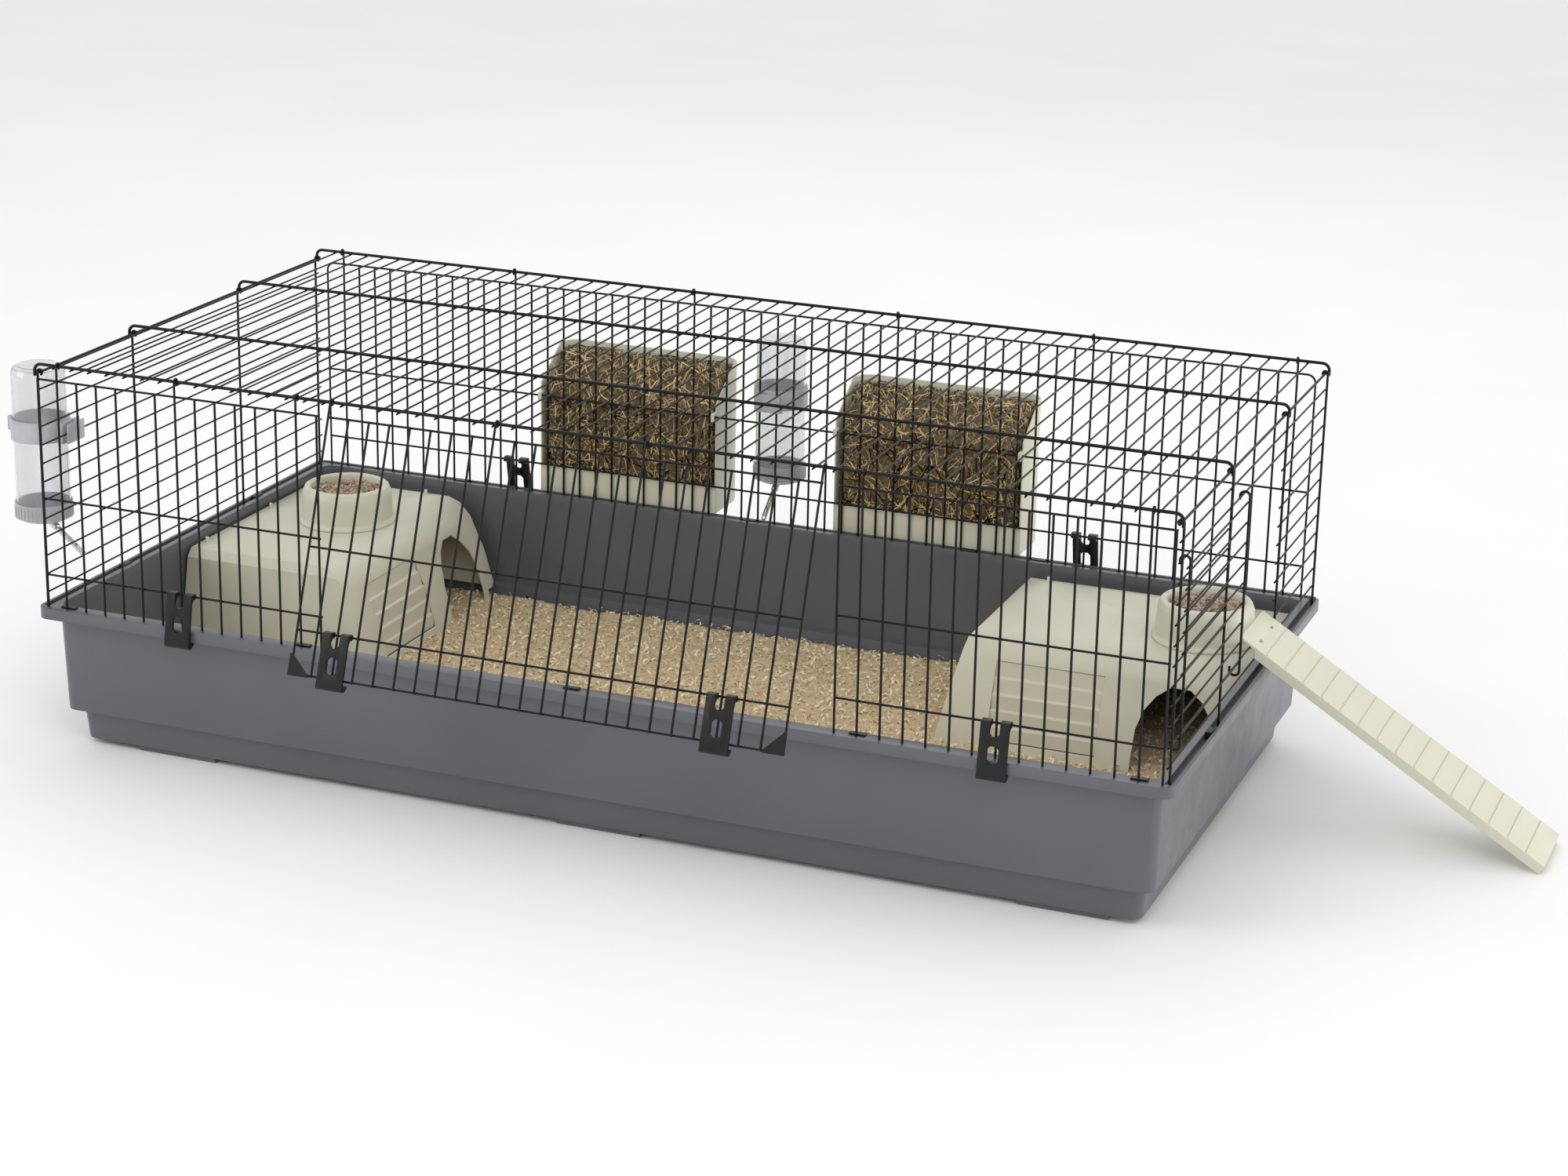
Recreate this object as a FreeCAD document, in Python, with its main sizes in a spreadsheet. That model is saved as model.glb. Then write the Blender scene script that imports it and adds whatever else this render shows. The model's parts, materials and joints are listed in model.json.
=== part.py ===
import FreeCAD, Part
import math
import os
import re
import Sketcher

# Indoor rabbit cage: a stepped plastic tray, a welded wire hood with a top-hinged
# front door and a sliding side door, a ramp, hay racks, drinking bottles, hideouts
# and feeding bowls.  +X runs along the length, -Y is the front, +Z is up and the
# origin is on the floor under the middle of the tray.  All sizes are millimetres.

SIZES = {
    # tray
    "tray_length": 1620, "tray_width": 800, "rim_top": 207.5, "rim_height": 15.5,
    "wall_inset": 20, "wall_inset_low": 24, "step_level": 54, "lower_inset": 39,
    "lower_inset_low": 43, "floor_level": 8, "tray_wall": 3, "rim_inner_inset": 23,
    "tray_corner": 18, "groove_depth": 9, "groove_width": 9.5, "frame_inset": 9.1,
    "runner_width": 121, "runner_pitch": 643, "runner_shift": 22, "runner_inset": 48,
    "block_length": 20, "block_rise": 1.2, "tab_length": 22, "tab_width": 8, "tab_rise": 2.5,
    # wire sections (radii) and the clearance inside every curl
    "bar_rad": 2.2, "upright_rad": 1.6, "rail_rad": 1.5, "thin_rad": 1.25,
    "side_rad": 1.75, "curl_gap": 0.1, "curl_turn": 250,
    # roof
    "roof_level": 553, "roof_bar_ratio": 0.39, "cross_pitch": 27.5, "cross_count": 57,
    "cross_over": 2, "tail_bend": 10, "tail_drop": 17, "end_wire_drop": 13,
    # back panel
    "back_pitch": 27, "back_last": 29, "back_top": 534, "mid_level": 363,
    "low_level": 253.5, "frame_bend": 12,
    # front sections
    "front_start": 795, "front_pitch": 30.6, "front_top": 532, "rail_over": 1,
    # side panels
    "side_step": 6, "row_start": 227, "row_pitch": 26.3, "row_over": 1.5,
    "opening_first": 1, "opening_last": 10,
    # front door
    "door_pitch": 30, "door_bays": 23, "door_angle": 19.6, "door_first": 20,
    "door_mid": 190, "door_low": 299.5, "door_bottom": 357, "gusset_leg": 29,
    "gusset_thick": 3,
    # side door
    "slider_half": 145.5, "slider_open": 220.5, "slider_gap": 0.5, "slider_row_pitch": 27.25,
    "slider_rows": 9, "slider_row_start": 262, "hook_tail": 5,
    # ramp
    "ramp_angle": 31.3, "ramp_width": 120, "ramp_centre": 77, "ramp_length": 474,
    "ramp_nose": 17, "ramp_seat": 2, "ramp_thick": 3, "ramp_flange": 13, "ramp_flange_wall": 2.5,
    "ridge_pitch": 30, "ridge_count": 15, "ridge_rise": 1.2, "ridge_width": 2.4,
    "lug_spacing": 60, "lug_width": 8, "lug_rad": 4.2, "lug_gap": 0.08,
    # clips
    "clip_width": 38, "clip_slot": 13, "clip_tilt": 10.5, "clip_reach": 63.2, "clip_drop": 72,
    "clip_stand": 5, "clip_thick": 4, "clip_lip": 6, "clip_ear": 4.2, "clip_gap": 0.08,
    "clip_hole": 15, "clip_hole_drop": 40,
    # hay racks
    "rack_width": 294, "rack_depth": 100, "rack_bottom": 209, "rack_front": 382,
    "rack_back": 430, "rack_lip": 250, "rack_wall": 2.5, "rack_left": -271.5,
    "rack_right": 213.5, "rack_gap": 0.7, "hook_width": 6, "rack_corner": 28,
    # bottles
    "bottle_rad": 37.5, "bottle_height": 222, "bottle_wall": 1.5, "bottle_gap": 0.4,
    "cap_height": 26, "cap_wall": 2, "cap_floor": 6, "ring_height": 30, "ring_wall": 3, "ring_above_cap": 133,
    "plate_thick": 3, "plate_width": 44, "ring_neck": 6, "pin_rad": 3, "pin_step": 9,
    "spout_rad": 4, "spout_reach": 63, "spout_drop": 46, "ball_rad": 3,
    "left_bottle_y": -305, "left_bottle_row": 8, "back_bottle_bay": -1.5,
    "back_bottle_level": 395,
    # hideouts and bowls
    "house_width": 400, "house_roof": 193, "house_wall": 3, "house_slope": 34,
    "house_corner_x": 781.5, "house_corner_y": 350, "left_house_x": -781.5,
    "ledge_clear": 21,
    "arch_width": 118, "arch_from_end": 89, "arch_top": 156, "peg_rad": 2.5, "peg_height": 8,
    "bowl_rad": 73, "bowl_height": 57, "bowl_mouth": 54, "bowl_right_x": 692,
    "bowl_right_y": 200, "bowl_left_x": -640, "bowl_left_y": 178, "seat_gap": 0.3,
    "bedding_top": 45,
}

doc = FreeCAD.newDocument("rabbit_cage")
sheet = doc.addObject("Spreadsheet::Sheet", "Sizes")
for row, (alias, number) in enumerate(SIZES.items(), 1):
    sheet.set("A%d" % row, alias)
    sheet.set("B%d" % row, str(number))
    sheet.setAlias("B%d" % row, alias)
doc.recompute()

nodes = []


def cell(expr):
    """Turns a formula of aliases into one that reads the sheet."""
    return re.sub(r"\b([a-z][a-z_]*)\b(?!\()", r"Sizes.\1", str(expr))


def value(expr):
    """The number that a formula of aliases gives now."""
    got = sheet.evalExpression(cell(expr))
    return float(getattr(got, "Value", got))


def bind(thing, prop, expr):
    thing.setExpression(prop, cell(expr))


# ---- derived formulas, each written once -------------------------------------------------
UPRIGHT_Y = "(tray_width / 2 - frame_inset)"
SIDE_X = "(tray_length / 2 - frame_inset)"
CURL = "(bar_rad + upright_rad + curl_gap)"
BAR_Y = "(%s - %s)" % (UPRIGHT_Y, CURL)
INNER_BAR_Y = "(%s * roof_bar_ratio)" % BAR_Y
RAIL_Y = "(%s - upright_rad - rail_rad)" % UPRIGHT_Y
SIDE_CURL = "(side_rad * 2 + curl_gap)"
END_WIRE_X = "(%s - %s)" % (SIDE_X, SIDE_CURL)
TAIL_X = "(%s + side_rad + bar_rad + 0.05)" % END_WIRE_X
ROW_X = "(%s - side_rad - thin_rad)" % SIDE_X
SIDE_Y_OUT = "(%s - side_step)" % BAR_Y
SIDE_Y_IN = "(%s - side_step)" % INNER_BAR_Y
END_WIRE_Z = "(roof_level - end_wire_drop)"
GROOVE_FLOOR = "(rim_top - groove_depth)"
FLOOR_TOP = "(floor_level + tray_wall)"
LOW_ROW = "(row_start + row_pitch * opening_first)"
HIGH_ROW = "(row_start + row_pitch * opening_last)"

UP = FreeCAD.Rotation()
ALONG_Y = FreeCAD.Rotation(FreeCAD.Vector(1, 0, 0), -90)
ALONG_X = FreeCAD.Rotation(FreeCAD.Vector(0, 0, 1), FreeCAD.Vector(0, -1, 0),
                           FreeCAD.Vector(1, 0, 0), "XYZ")
ROWS_Y = FreeCAD.Rotation(FreeCAD.Vector(0, 0, 1), FreeCAD.Vector(1, 0, 0),
                          FreeCAD.Vector(0, 1, 0), "XYZ")
RIGHT_SIDE = FreeCAD.Rotation(FreeCAD.Vector(0, 0, 1), 90)
LEFT_SIDE = FreeCAD.Rotation(FreeCAD.Vector(0, 0, 1), -90)
HALF_TURN = FreeCAD.Rotation(FreeCAD.Vector(0, 0, 1), 180)


# ---- documents helpers ---------------------------------------------------------------------
def place(thing, at, turn=UP, carrier=None):
    """Sets a placement; without a carrier its position stays bound to the sheet."""
    spot = FreeCAD.Placement(FreeCAD.Vector(*[value(part) for part in at]), turn)
    if carrier is not None:
        thing.Placement = carrier.multiply(spot)
        return thing
    thing.Placement = spot
    for axis, part in zip("xyz", at):
        bind(thing, "Placement.Base." + axis, part)
    return thing


def new_body(label):
    body = doc.addObject("PartDesign::Body", "Body_" + label)
    body.Label = label
    nodes.append(body)
    return body


def datum(body, role):
    return next(part for part in body.Origin.OriginFeatures if part.Role == role)


def new_sketch(body, role, offset=None):
    sketch = body.newObject("Sketcher::SketchObject", body.Label + "_sketch")
    sketch.AttachmentSupport = [(datum(body, role), "")]
    sketch.MapMode = "FlatFace"
    if offset is not None:
        bind(sketch, "AttachmentOffset.Base.z", offset)
    return sketch


def fix_point(sketch, geo, pos, across, up):
    """Dimensions one point of a sketch from the origin, bound to the sheet."""
    for kind, expr in (("DistanceX", across), ("DistanceY", up)):
        index = sketch.addConstraint(Sketcher.Constraint(kind, -1, 1, geo, pos, value(expr)))
        name = "d%d" % index
        sketch.renameConstraint(index, name)
        bind(sketch, "Constraints." + name, expr)


def fix_radius(sketch, geo, expr):
    index = sketch.addConstraint(Sketcher.Constraint("Radius", geo, value(expr)))
    sketch.renameConstraint(index, "r%d" % index)
    bind(sketch, "Constraints.r%d" % index, expr)


def add_circle(sketch, across, up, radius):
    centre = FreeCAD.Vector(value(across), value(up), 0)
    circle = Part.Circle(centre, FreeCAD.Vector(0, 0, 1), value(radius))
    geo = sketch.addGeometry(circle)
    fix_radius(sketch, geo, radius)
    fix_point(sketch, geo, 3, across, up)


def add_polygon(sketch, points):
    """A closed outline whose every corner is dimensioned."""
    spots = [FreeCAD.Vector(value(across), value(up), 0) for across, up in points]
    first = sketch.GeometryCount
    for number, spot in enumerate(spots):
        sketch.addGeometry(Part.LineSegment(spot, spots[(number + 1) % len(spots)]))
    for number, (across, up) in enumerate(points):
        geo = first + number
        following = first + (number + 1) % len(points)
        sketch.addConstraint(Sketcher.Constraint("Coincident", geo, 2, following, 1))
        fix_point(sketch, geo, 1, across, up)


def add_round_rect(sketch, half_x, half_y, radius):
    """A rectangle about the origin with rounded corners."""
    hx, hy, r = value(half_x), value(half_y), value(radius)
    first = sketch.GeometryCount
    corners = [(1, 1, 0), (-1, 1, 90), (-1, -1, 180), (1, -1, 270)]
    for sx, sy, start in corners:
        centre = FreeCAD.Vector(sx * (hx - r), sy * (hy - r), 0)
        circle = Part.Circle(centre, FreeCAD.Vector(0, 0, 1), r)
        sketch.addGeometry(Part.ArcOfCircle(circle, math.radians(start), math.radians(start + 90)))
    for number in range(4):
        arc, following = first + number, first + (number + 1) % 4
        ends = sketch.Geometry[arc].EndPoint, sketch.Geometry[following].StartPoint
        line = sketch.addGeometry(Part.LineSegment(*ends))
        sketch.addConstraint(Sketcher.Constraint("Tangent", arc, 2, line, 1))
        sketch.addConstraint(Sketcher.Constraint("Tangent", line, 2, following, 1))
    for number, (sx, sy, _) in enumerate(corners):
        fix_point(sketch, first + number, 3, "%d * (%s - (%s))" % (sx, half_x, radius),
                  "%d * (%s - (%s))" % (sy, half_y, radius))
    fix_radius(sketch, first, radius)
    for number in range(1, 4):
        sketch.addConstraint(Sketcher.Constraint("Equal", first, first + number))


def pad(body, sketch, length, reverse=False, centred=False):
    feature = body.newObject("PartDesign::Pad", body.Label + "_pad")
    feature.Profile = sketch
    bind(feature, "Length", length)
    feature.Reversed = reverse
    if centred:
        feature.SideType = "Symmetric"
    return feature


def pocket(body, sketch, length, reverse=False, centred=False):
    feature = body.newObject("PartDesign::Pocket", body.Label + "_pocket")
    feature.Profile = sketch
    bind(feature, "Length", length)
    feature.Reversed = reverse
    if centred:
        feature.SideType = "Symmetric"
    return feature


def pattern(body, original, pitch, count, axis="X_Axis"):
    """Repeats a feature along one of the body's own axes."""
    row_feature = body.newObject("PartDesign::LinearPattern", body.Label + "_row")
    row_feature.Originals = [original]
    row_feature.Direction = (datum(body, axis), [""])
    bind(row_feature, "Length", "%s * (%s - 1)" % (pitch, count))
    bind(row_feature, "Occurrences", count)
    body.Tip = row_feature
    return row_feature


def wire_row(label, radius, length, seeds, count, pitch, singles=()):
    """Straight wires along the body's Z: each seed is repeated along X, singles are not."""
    body = new_body(label)
    sketch = new_sketch(body, "XY_Plane")
    for seed in seeds:
        add_circle(sketch, seed, "0", radius)
    feature = pad(body, sketch, length)
    if value(count) > 1.5:
        pattern(body, feature, pitch, count)
    if singles:
        extra = new_sketch(body, "XY_Plane")
        for single in singles:
            add_circle(extra, single, "0", radius)
        body.Tip = pad(body, extra, length)
    return body


def add_spine(body, role, runs):
    """An open path of lines and arcs.  Runs: ("line", u, v) or ("arc", cu, cv, from, to)."""
    spine = new_sketch(body, role)
    last = FreeCAD.Vector(value(runs[0][0]), value(runs[0][1]), 0)
    previous = None
    for run in runs[1:]:
        if run[0] == "line":
            end = FreeCAD.Vector(value(run[1]), value(run[2]), 0)
            geo = spine.addGeometry(Part.LineSegment(last, end))
            joint, tip = 1, 2
            fix_point(spine, geo, 2, run[1], run[2])
        else:
            centre = FreeCAD.Vector(value(run[1]), value(run[2]), 0)
            radius = (last - centre).Length
            start, stop = (math.radians(value(angle)) for angle in run[3:5])
            circle = Part.Circle(centre, FreeCAD.Vector(0, 0, 1), radius)
            clockwise = stop < start
            arc = Part.ArcOfCircle(circle, min(start, stop), max(start, stop))
            geo = spine.addGeometry(arc)
            joint, tip = (2, 1) if clockwise else (1, 2)
            end = centre + FreeCAD.Vector(math.cos(stop), math.sin(stop), 0) * radius
            fix_point(spine, geo, 3, run[1], run[2])
        if previous is None:
            fix_point(spine, geo, joint, runs[0][0], runs[0][1])
        else:
            spine.addConstraint(Sketcher.Constraint("Coincident", previous[0], previous[1], geo, joint))
        previous, last = (geo, tip), end
    return spine, len(runs) - 1


def bent_wire(label, radius, role, runs, count="1", pitch="0", axis="X_Axis"):
    """A wire swept along a flat path that leaves the origin along the body's Z."""
    body = new_body(label)
    profile = new_sketch(body, "XY_Plane")
    add_circle(profile, "0", "0", radius)
    spine, edges = add_spine(body, role, runs)
    doc.recompute()
    pipe = body.newObject("PartDesign::AdditivePipe", label + "_pipe")
    pipe.Profile = profile
    pipe.Spine = (spine, ["Edge%d" % (number + 1) for number in range(edges)])
    doc.recompute()
    if value(count) > 1.5:
        pattern(body, pipe, pitch, count, axis)
    return body


def curl_runs(length, curl, turn="curl_turn"):
    """Up by length, then round a bar that lies towards the body's +Y."""
    return [("0", "0"), ("line", "0", length), ("arc", curl, length, "180", "180 - %s" % turn)]


def box(name, low, size):
    block = doc.addObject("Part::Box", name)
    for prop, expr in zip(("Length", "Width", "Height"), size):
        bind(block, prop, expr)
    return place(block, low)


def fuse(label, shapes):
    joined = doc.addObject("Part::MultiFuse", "Fuse_" + label)
    joined.Label = label
    joined.Shapes = shapes
    nodes.append(joined)
    return joined


# ---- tray ------------------------------------------------------------------------------------
def tray_loft(body, kind, levels, wall):
    """One tier of the tray, outer (wall 0) or its cavity."""
    sketches = []
    for level, inset in levels:
        sketch = new_sketch(body, "XY_Plane", level)
        add_round_rect(sketch, "tray_length / 2 - %s - %s" % (inset, wall),
                       "tray_width / 2 - %s - %s" % (inset, wall), "tray_corner - %s / 2" % wall)
        sketches.append(sketch)
    loft = body.newObject("PartDesign::" + kind, body.Label + "_tier")
    loft.Profile = sketches[0]
    loft.Sections = sketches[1:]
    loft.Ruled = True
    return loft


def build_tray():
    body = new_body("tray")
    tray_loft(body, "AdditiveLoft", [("floor_level", "lower_inset_low"), ("step_level", "lower_inset")], "0")
    tray_loft(body, "AdditiveLoft",
              [("step_level", "wall_inset_low"), ("rim_top - rim_height", "wall_inset")], "0")
    rim = new_sketch(body, "XY_Plane", "rim_top - rim_height")
    add_round_rect(rim, "tray_length / 2", "tray_width / 2", "tray_corner")
    pad(body, rim, "rim_height")
    tray_loft(body, "SubtractiveLoft",
              [(FLOOR_TOP, "lower_inset_low"), ("step_level + tray_wall", "lower_inset")], "tray_wall")
    tray_loft(body, "SubtractiveLoft",
              [("step_level + tray_wall", "wall_inset_low"), ("rim_top - rim_height", "wall_inset")],
              "tray_wall")
    mouth = new_sketch(body, "XY_Plane", "rim_top")
    add_round_rect(mouth, "tray_length / 2 - rim_inner_inset", "tray_width / 2 - rim_inner_inset",
                   "tray_corner - tray_wall / 2")
    pocket(body, mouth, "rim_height")
    groove = new_sketch(body, "XY_Plane", "rim_top")
    half = "groove_width / 2"
    out_x, in_x = "%s + %s" % (SIDE_X, half), "%s - %s" % (SIDE_X, half)
    out_y, in_y = "%s + %s" % (UPRIGHT_Y, half), "%s - %s" % (UPRIGHT_Y, half)
    front = "-(%s)" % in_y
    add_polygon(groove, [("-(%s)" % out_x, front), ("-(%s)" % in_x, front), ("-(%s)" % in_x, in_y),
                         (in_x, in_y), (in_x, front), (out_x, front), (out_x, out_y),
                         ("-(%s)" % out_x, out_y)])
    pocket(body, groove, "groove_depth")
    runners = new_sketch(body, "XY_Plane")
    for step in (-1, 0, 1):
        low = "runner_shift - runner_width / 2 + %d * runner_pitch" % step
        high = "runner_shift + runner_width / 2 + %d * runner_pitch" % step
        side = "tray_width / 2 - runner_inset"
        add_polygon(runners, [(low, "-(%s)" % side), (high, "-(%s)" % side), (high, side), (low, side)])
    body.Tip = pad(body, runners, "floor_level")


def build_rim_fittings():
    blocks = []
    size_y = "groove_width - 0.6"
    rise = "groove_depth + block_rise"
    for number, bay in enumerate((-2.5, 10.5, 14.5, -20.5)):
        low = ("%s * back_pitch - block_length / 2" % bay, "%s - (%s) / 2" % (UPRIGHT_Y, size_y), GROOVE_FLOOR)
        blocks.append(box("BackBlock%d" % number, low, ("block_length", size_y, rise)))
    for side in (-1, 1):
        for end in (-1, 1):
            low = ("%d * %s - (%s) / 2" % (side, SIDE_X, size_y),
                   "%d * (%s + 2 * block_length) - block_length / 2" % (end, SIDE_Y_IN), GROOVE_FLOOR)
            blocks.append(box("SideBlock%d%d" % (side + 1, end + 1), low, (size_y, "block_length", rise)))
    fuse("rim_blocks", blocks)
    tabs = []
    for number, centre in enumerate(("-front_start + front_pitch", "-front_start + 13 * front_pitch", "0",
                                     "front_start - 13 * front_pitch", "front_start - front_pitch")):
        low = ("%s - tab_length / 2" % centre, "-%s + upright_rad + 0.2" % UPRIGHT_Y, "rim_top")
        tabs.append(box("Tab%d" % number, low, ("tab_length", "tab_width", "tab_rise")))
    fuse("front_rim_tabs", tabs)


# ---- roof and back ---------------------------------------------------------------------------
def build_roof():
    ends = "%s - tail_bend" % TAIL_X
    rise = "(tail_drop - tail_bend)"
    width = "2 * (%s)" % ends
    runs = [("0", "0"), ("line", "0", rise), ("arc", "tail_bend", rise, "180", "90"),
            ("line", "tail_bend + %s" % width, "%s + tail_bend" % rise),
            ("arc", "tail_bend + %s" % width, rise, "90", "0"),
            ("line", "2 * tail_bend + %s" % width, "0")]
    for label, spot in (("roof_outer_bars", BAR_Y), ("roof_inner_bars", INNER_BAR_Y)):
        bars = bent_wire(label, "bar_rad", "XZ_Plane", runs, "2", "2 * %s" % spot, axis="Y_Axis")
        place(bars, ("-%s" % TAIL_X, "-%s" % spot, "roof_level - tail_drop"))
    cross = wire_row("roof_cross_wires", "thin_rad", "2 * (%s + bar_rad + cross_over)" % BAR_Y,
                     ["0"], "cross_count", "cross_pitch")
    place(cross, ("-cross_pitch * (cross_count - 1) / 2", "-(%s + bar_rad + cross_over)" % BAR_Y,
                  "roof_level - bar_rad - thin_rad"), ALONG_Y)
    ends = wire_row("roof_end_wires", "side_rad", "2 * (%s + cross_over)" % BAR_Y,
                    ["0", "2 * %s" % END_WIRE_X], "1", "0")
    place(ends, ("-%s" % END_WIRE_X, "-(%s + cross_over)" % BAR_Y, END_WIRE_Z), ALONG_Y)


def build_back():
    seeds = ["%d * back_pitch" % index for index in (-27, -16, -5, 7, 18)]
    uprights = wire_row("back_uprights", "upright_rad", "back_top - %s" % GROOVE_FLOOR,
                        seeds, "10", "back_pitch", ["5 * back_pitch"])
    place(uprights, ("0", UPRIGHT_Y, GROOVE_FLOOR))
    hooks = bent_wire("back_hook_uprights_left", "upright_rad", "YZ_Plane",
                      curl_runs("roof_level - %s" % GROOVE_FLOOR, CURL), "3", "11 * back_pitch")
    place(hooks, ("-6 * back_pitch", UPRIGHT_Y, GROOVE_FLOOR), HALF_TURN)
    hooks = bent_wire("back_hook_uprights_right", "upright_rad", "YZ_Plane",
                      curl_runs("roof_level - %s" % GROOVE_FLOOR, CURL), "3", "11 * back_pitch")
    place(hooks, ("28 * back_pitch", UPRIGHT_Y, GROOVE_FLOOR), HALF_TURN)
    rise = "(back_top - frame_bend - %s)" % GROOVE_FLOOR
    width = "(2 * back_last * back_pitch)"
    runs = [("0", "0"), ("line", "0", rise), ("arc", "frame_bend", rise, "180", "90"),
            ("line", "%s - frame_bend" % width, "%s + frame_bend" % rise),
            ("arc", "%s - frame_bend" % width, rise, "90", "0"), ("line", width, "0")]
    frame = bent_wire("back_frame_wire", "rail_rad", "XZ_Plane", runs)
    place(frame, ("-back_last * back_pitch", RAIL_Y, GROOVE_FLOOR))
    rails = wire_row("back_rails", "rail_rad", "%s - 2 * rail_rad" % width, ["0", "mid_level - low_level"], "1", "0")
    place(rails, ("-back_last * back_pitch + rail_rad", RAIL_Y, "low_level"), ALONG_X)


# ---- fixed front sections --------------------------------------------------------------------
def build_front_section(side, start):
    label = "front_%s" % side
    length = "front_top + rail_rad - rim_top"
    uprights = wire_row(label + "_uprights", "upright_rad", length,
                        ["2 * front_pitch", "8 * front_pitch"], "5", "front_pitch",
                        ["0", "14 * front_pitch"])
    place(uprights, (start, "-%s" % UPRIGHT_Y, "rim_top"))
    hooks = bent_wire(label + "_hook_uprights", "upright_rad", "YZ_Plane",
                      curl_runs("roof_level - rim_top", CURL), "3", "6 * front_pitch")
    place(hooks, ("%s + front_pitch" % start, "-%s" % UPRIGHT_Y, "rim_top"))
    rails = wire_row(label + "_rails", "rail_rad", "14 * front_pitch + 2 * rail_over",
                     ["0", "mid_level - low_level", "front_top - low_level"], "1", "0")
    place(rails, ("%s - rail_over" % start, "-%s" % RAIL_Y, "low_level"), ALONG_X)


# ---- side panels -----------------------------------------------------------------------------
def build_side(side):
    sign, turn = (1, RIGHT_SIDE) if side == "right" else (-1, LEFT_SIDE)
    label = side + "_side"
    for name, spot in (("_front_uprights", "-%s" % SIDE_Y_OUT), ("_back_uprights", SIDE_Y_IN)):
        low = spot if sign > 0 else "%s + %s - %s" % (spot, SIDE_Y_OUT, SIDE_Y_IN)
        posts = bent_wire(label + name, "side_rad", "YZ_Plane",
                          curl_runs("%s - %s" % (END_WIRE_Z, GROOVE_FLOOR), SIDE_CURL),
                          "2", "(%s - %s)" % (SIDE_Y_OUT, SIDE_Y_IN))
        place(posts, ("%d * %s" % (sign, SIDE_X), low, GROOVE_FLOOR), turn)
    reach = "(%s + side_rad + row_over)" % SIDE_Y_OUT
    at = ("%d * %s" % (sign, ROW_X), "-%s" % reach, "row_start")
    if side == "left":
        place(wire_row(label + "_rows", "thin_rad", "2 * %s" % reach, ["0"],
                       "opening_last + 2", "row_pitch"), at, ROWS_Y)
        return
    seeds = ["0", "opening_last * row_pitch"]
    place(wire_row(label + "_rows", "thin_rad", "2 * %s" % reach, seeds, "2", "row_pitch"), at, ROWS_Y)
    short = "(%s - %s + 2 * side_rad + 2 * row_over)" % (SIDE_Y_OUT, SIDE_Y_IN)
    for name, low in (("front", "-%s" % reach), ("back", "%s - side_rad - row_over" % SIDE_Y_IN)):
        rows = wire_row("%s_%s_rows" % (label, name), "thin_rad", short, ["0"],
                        "opening_last - opening_first - 1", "row_pitch")
        place(rows, (at[0], low, "row_start + row_pitch * (opening_first + 1)"), ROWS_Y)


# ---- front door ------------------------------------------------------------------------------
def door_frame():
    """The door's own frame: the roof's front bar is its X axis, -Z runs down the door."""
    return FreeCAD.Placement(FreeCAD.Vector(0, -value(BAR_Y), value("roof_level")),
                             FreeCAD.Rotation(FreeCAD.Vector(1, 0, 0), -value("door_angle")))


DOOR_LOW_X = "(-door_pitch * door_bays / 2)"
DOOR_RAIL_Y = "(-%s + upright_rad + rail_rad)" % CURL


def build_door():
    carrier = door_frame()
    foot = "-(door_bottom + rail_rad)"
    length = "door_bottom - door_first + 2 * rail_rad"
    uprights = wire_row("door_uprights", "upright_rad", length, ["door_pitch", "9 * door_pitch", "16 * door_pitch"],
                        "6", "door_pitch", ["7 * door_pitch", "22 * door_pitch"])
    place(uprights, (DOOR_LOW_X, "-%s" % CURL, foot), carrier=carrier)
    for label, first, step in (("door_outer_hook_uprights", "0", "23"), ("door_inner_hook_uprights", "8", "7")):
        hooks = bent_wire(label, "upright_rad", "YZ_Plane", curl_runs("door_bottom + rail_rad", CURL),
                          "2", "%s * door_pitch" % step)
        place(hooks, ("%s + %s * door_pitch" % (DOOR_LOW_X, first), "-%s" % CURL, foot), carrier=carrier)
    rails = wire_row("door_rails", "rail_rad", "door_bays * door_pitch + 2 * rail_over",
                     ["0", "door_bottom - door_low", "door_bottom - door_mid", "door_bottom - door_first"], "1", "0")
    place(rails, ("%s - rail_over" % DOOR_LOW_X, DOOR_RAIL_Y, "-door_bottom"), ALONG_X, carrier)
    body = new_body("door_gussets")
    sketch = new_sketch(body, "XZ_Plane")
    base = "-(door_bottom + rail_rad + 1)"
    for sign in (-1, 1):
        edge = "%d * (door_pitch * door_bays / 2 + upright_rad + 1)" % sign
        inner = "%s - %d * gusset_leg" % (edge, sign)
        points = [(edge, base), (inner, base), (inner, "%s + 3" % base),
                  ("%s - %d * 3" % (edge, sign), "%s + gusset_leg" % base), (edge, "%s + gusset_leg" % base)]
        add_polygon(sketch, points)
    pad(body, sketch, "gusset_thick")
    place(body, ("0", "-(%s + upright_rad)" % CURL, "0"), carrier=carrier)


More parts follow.
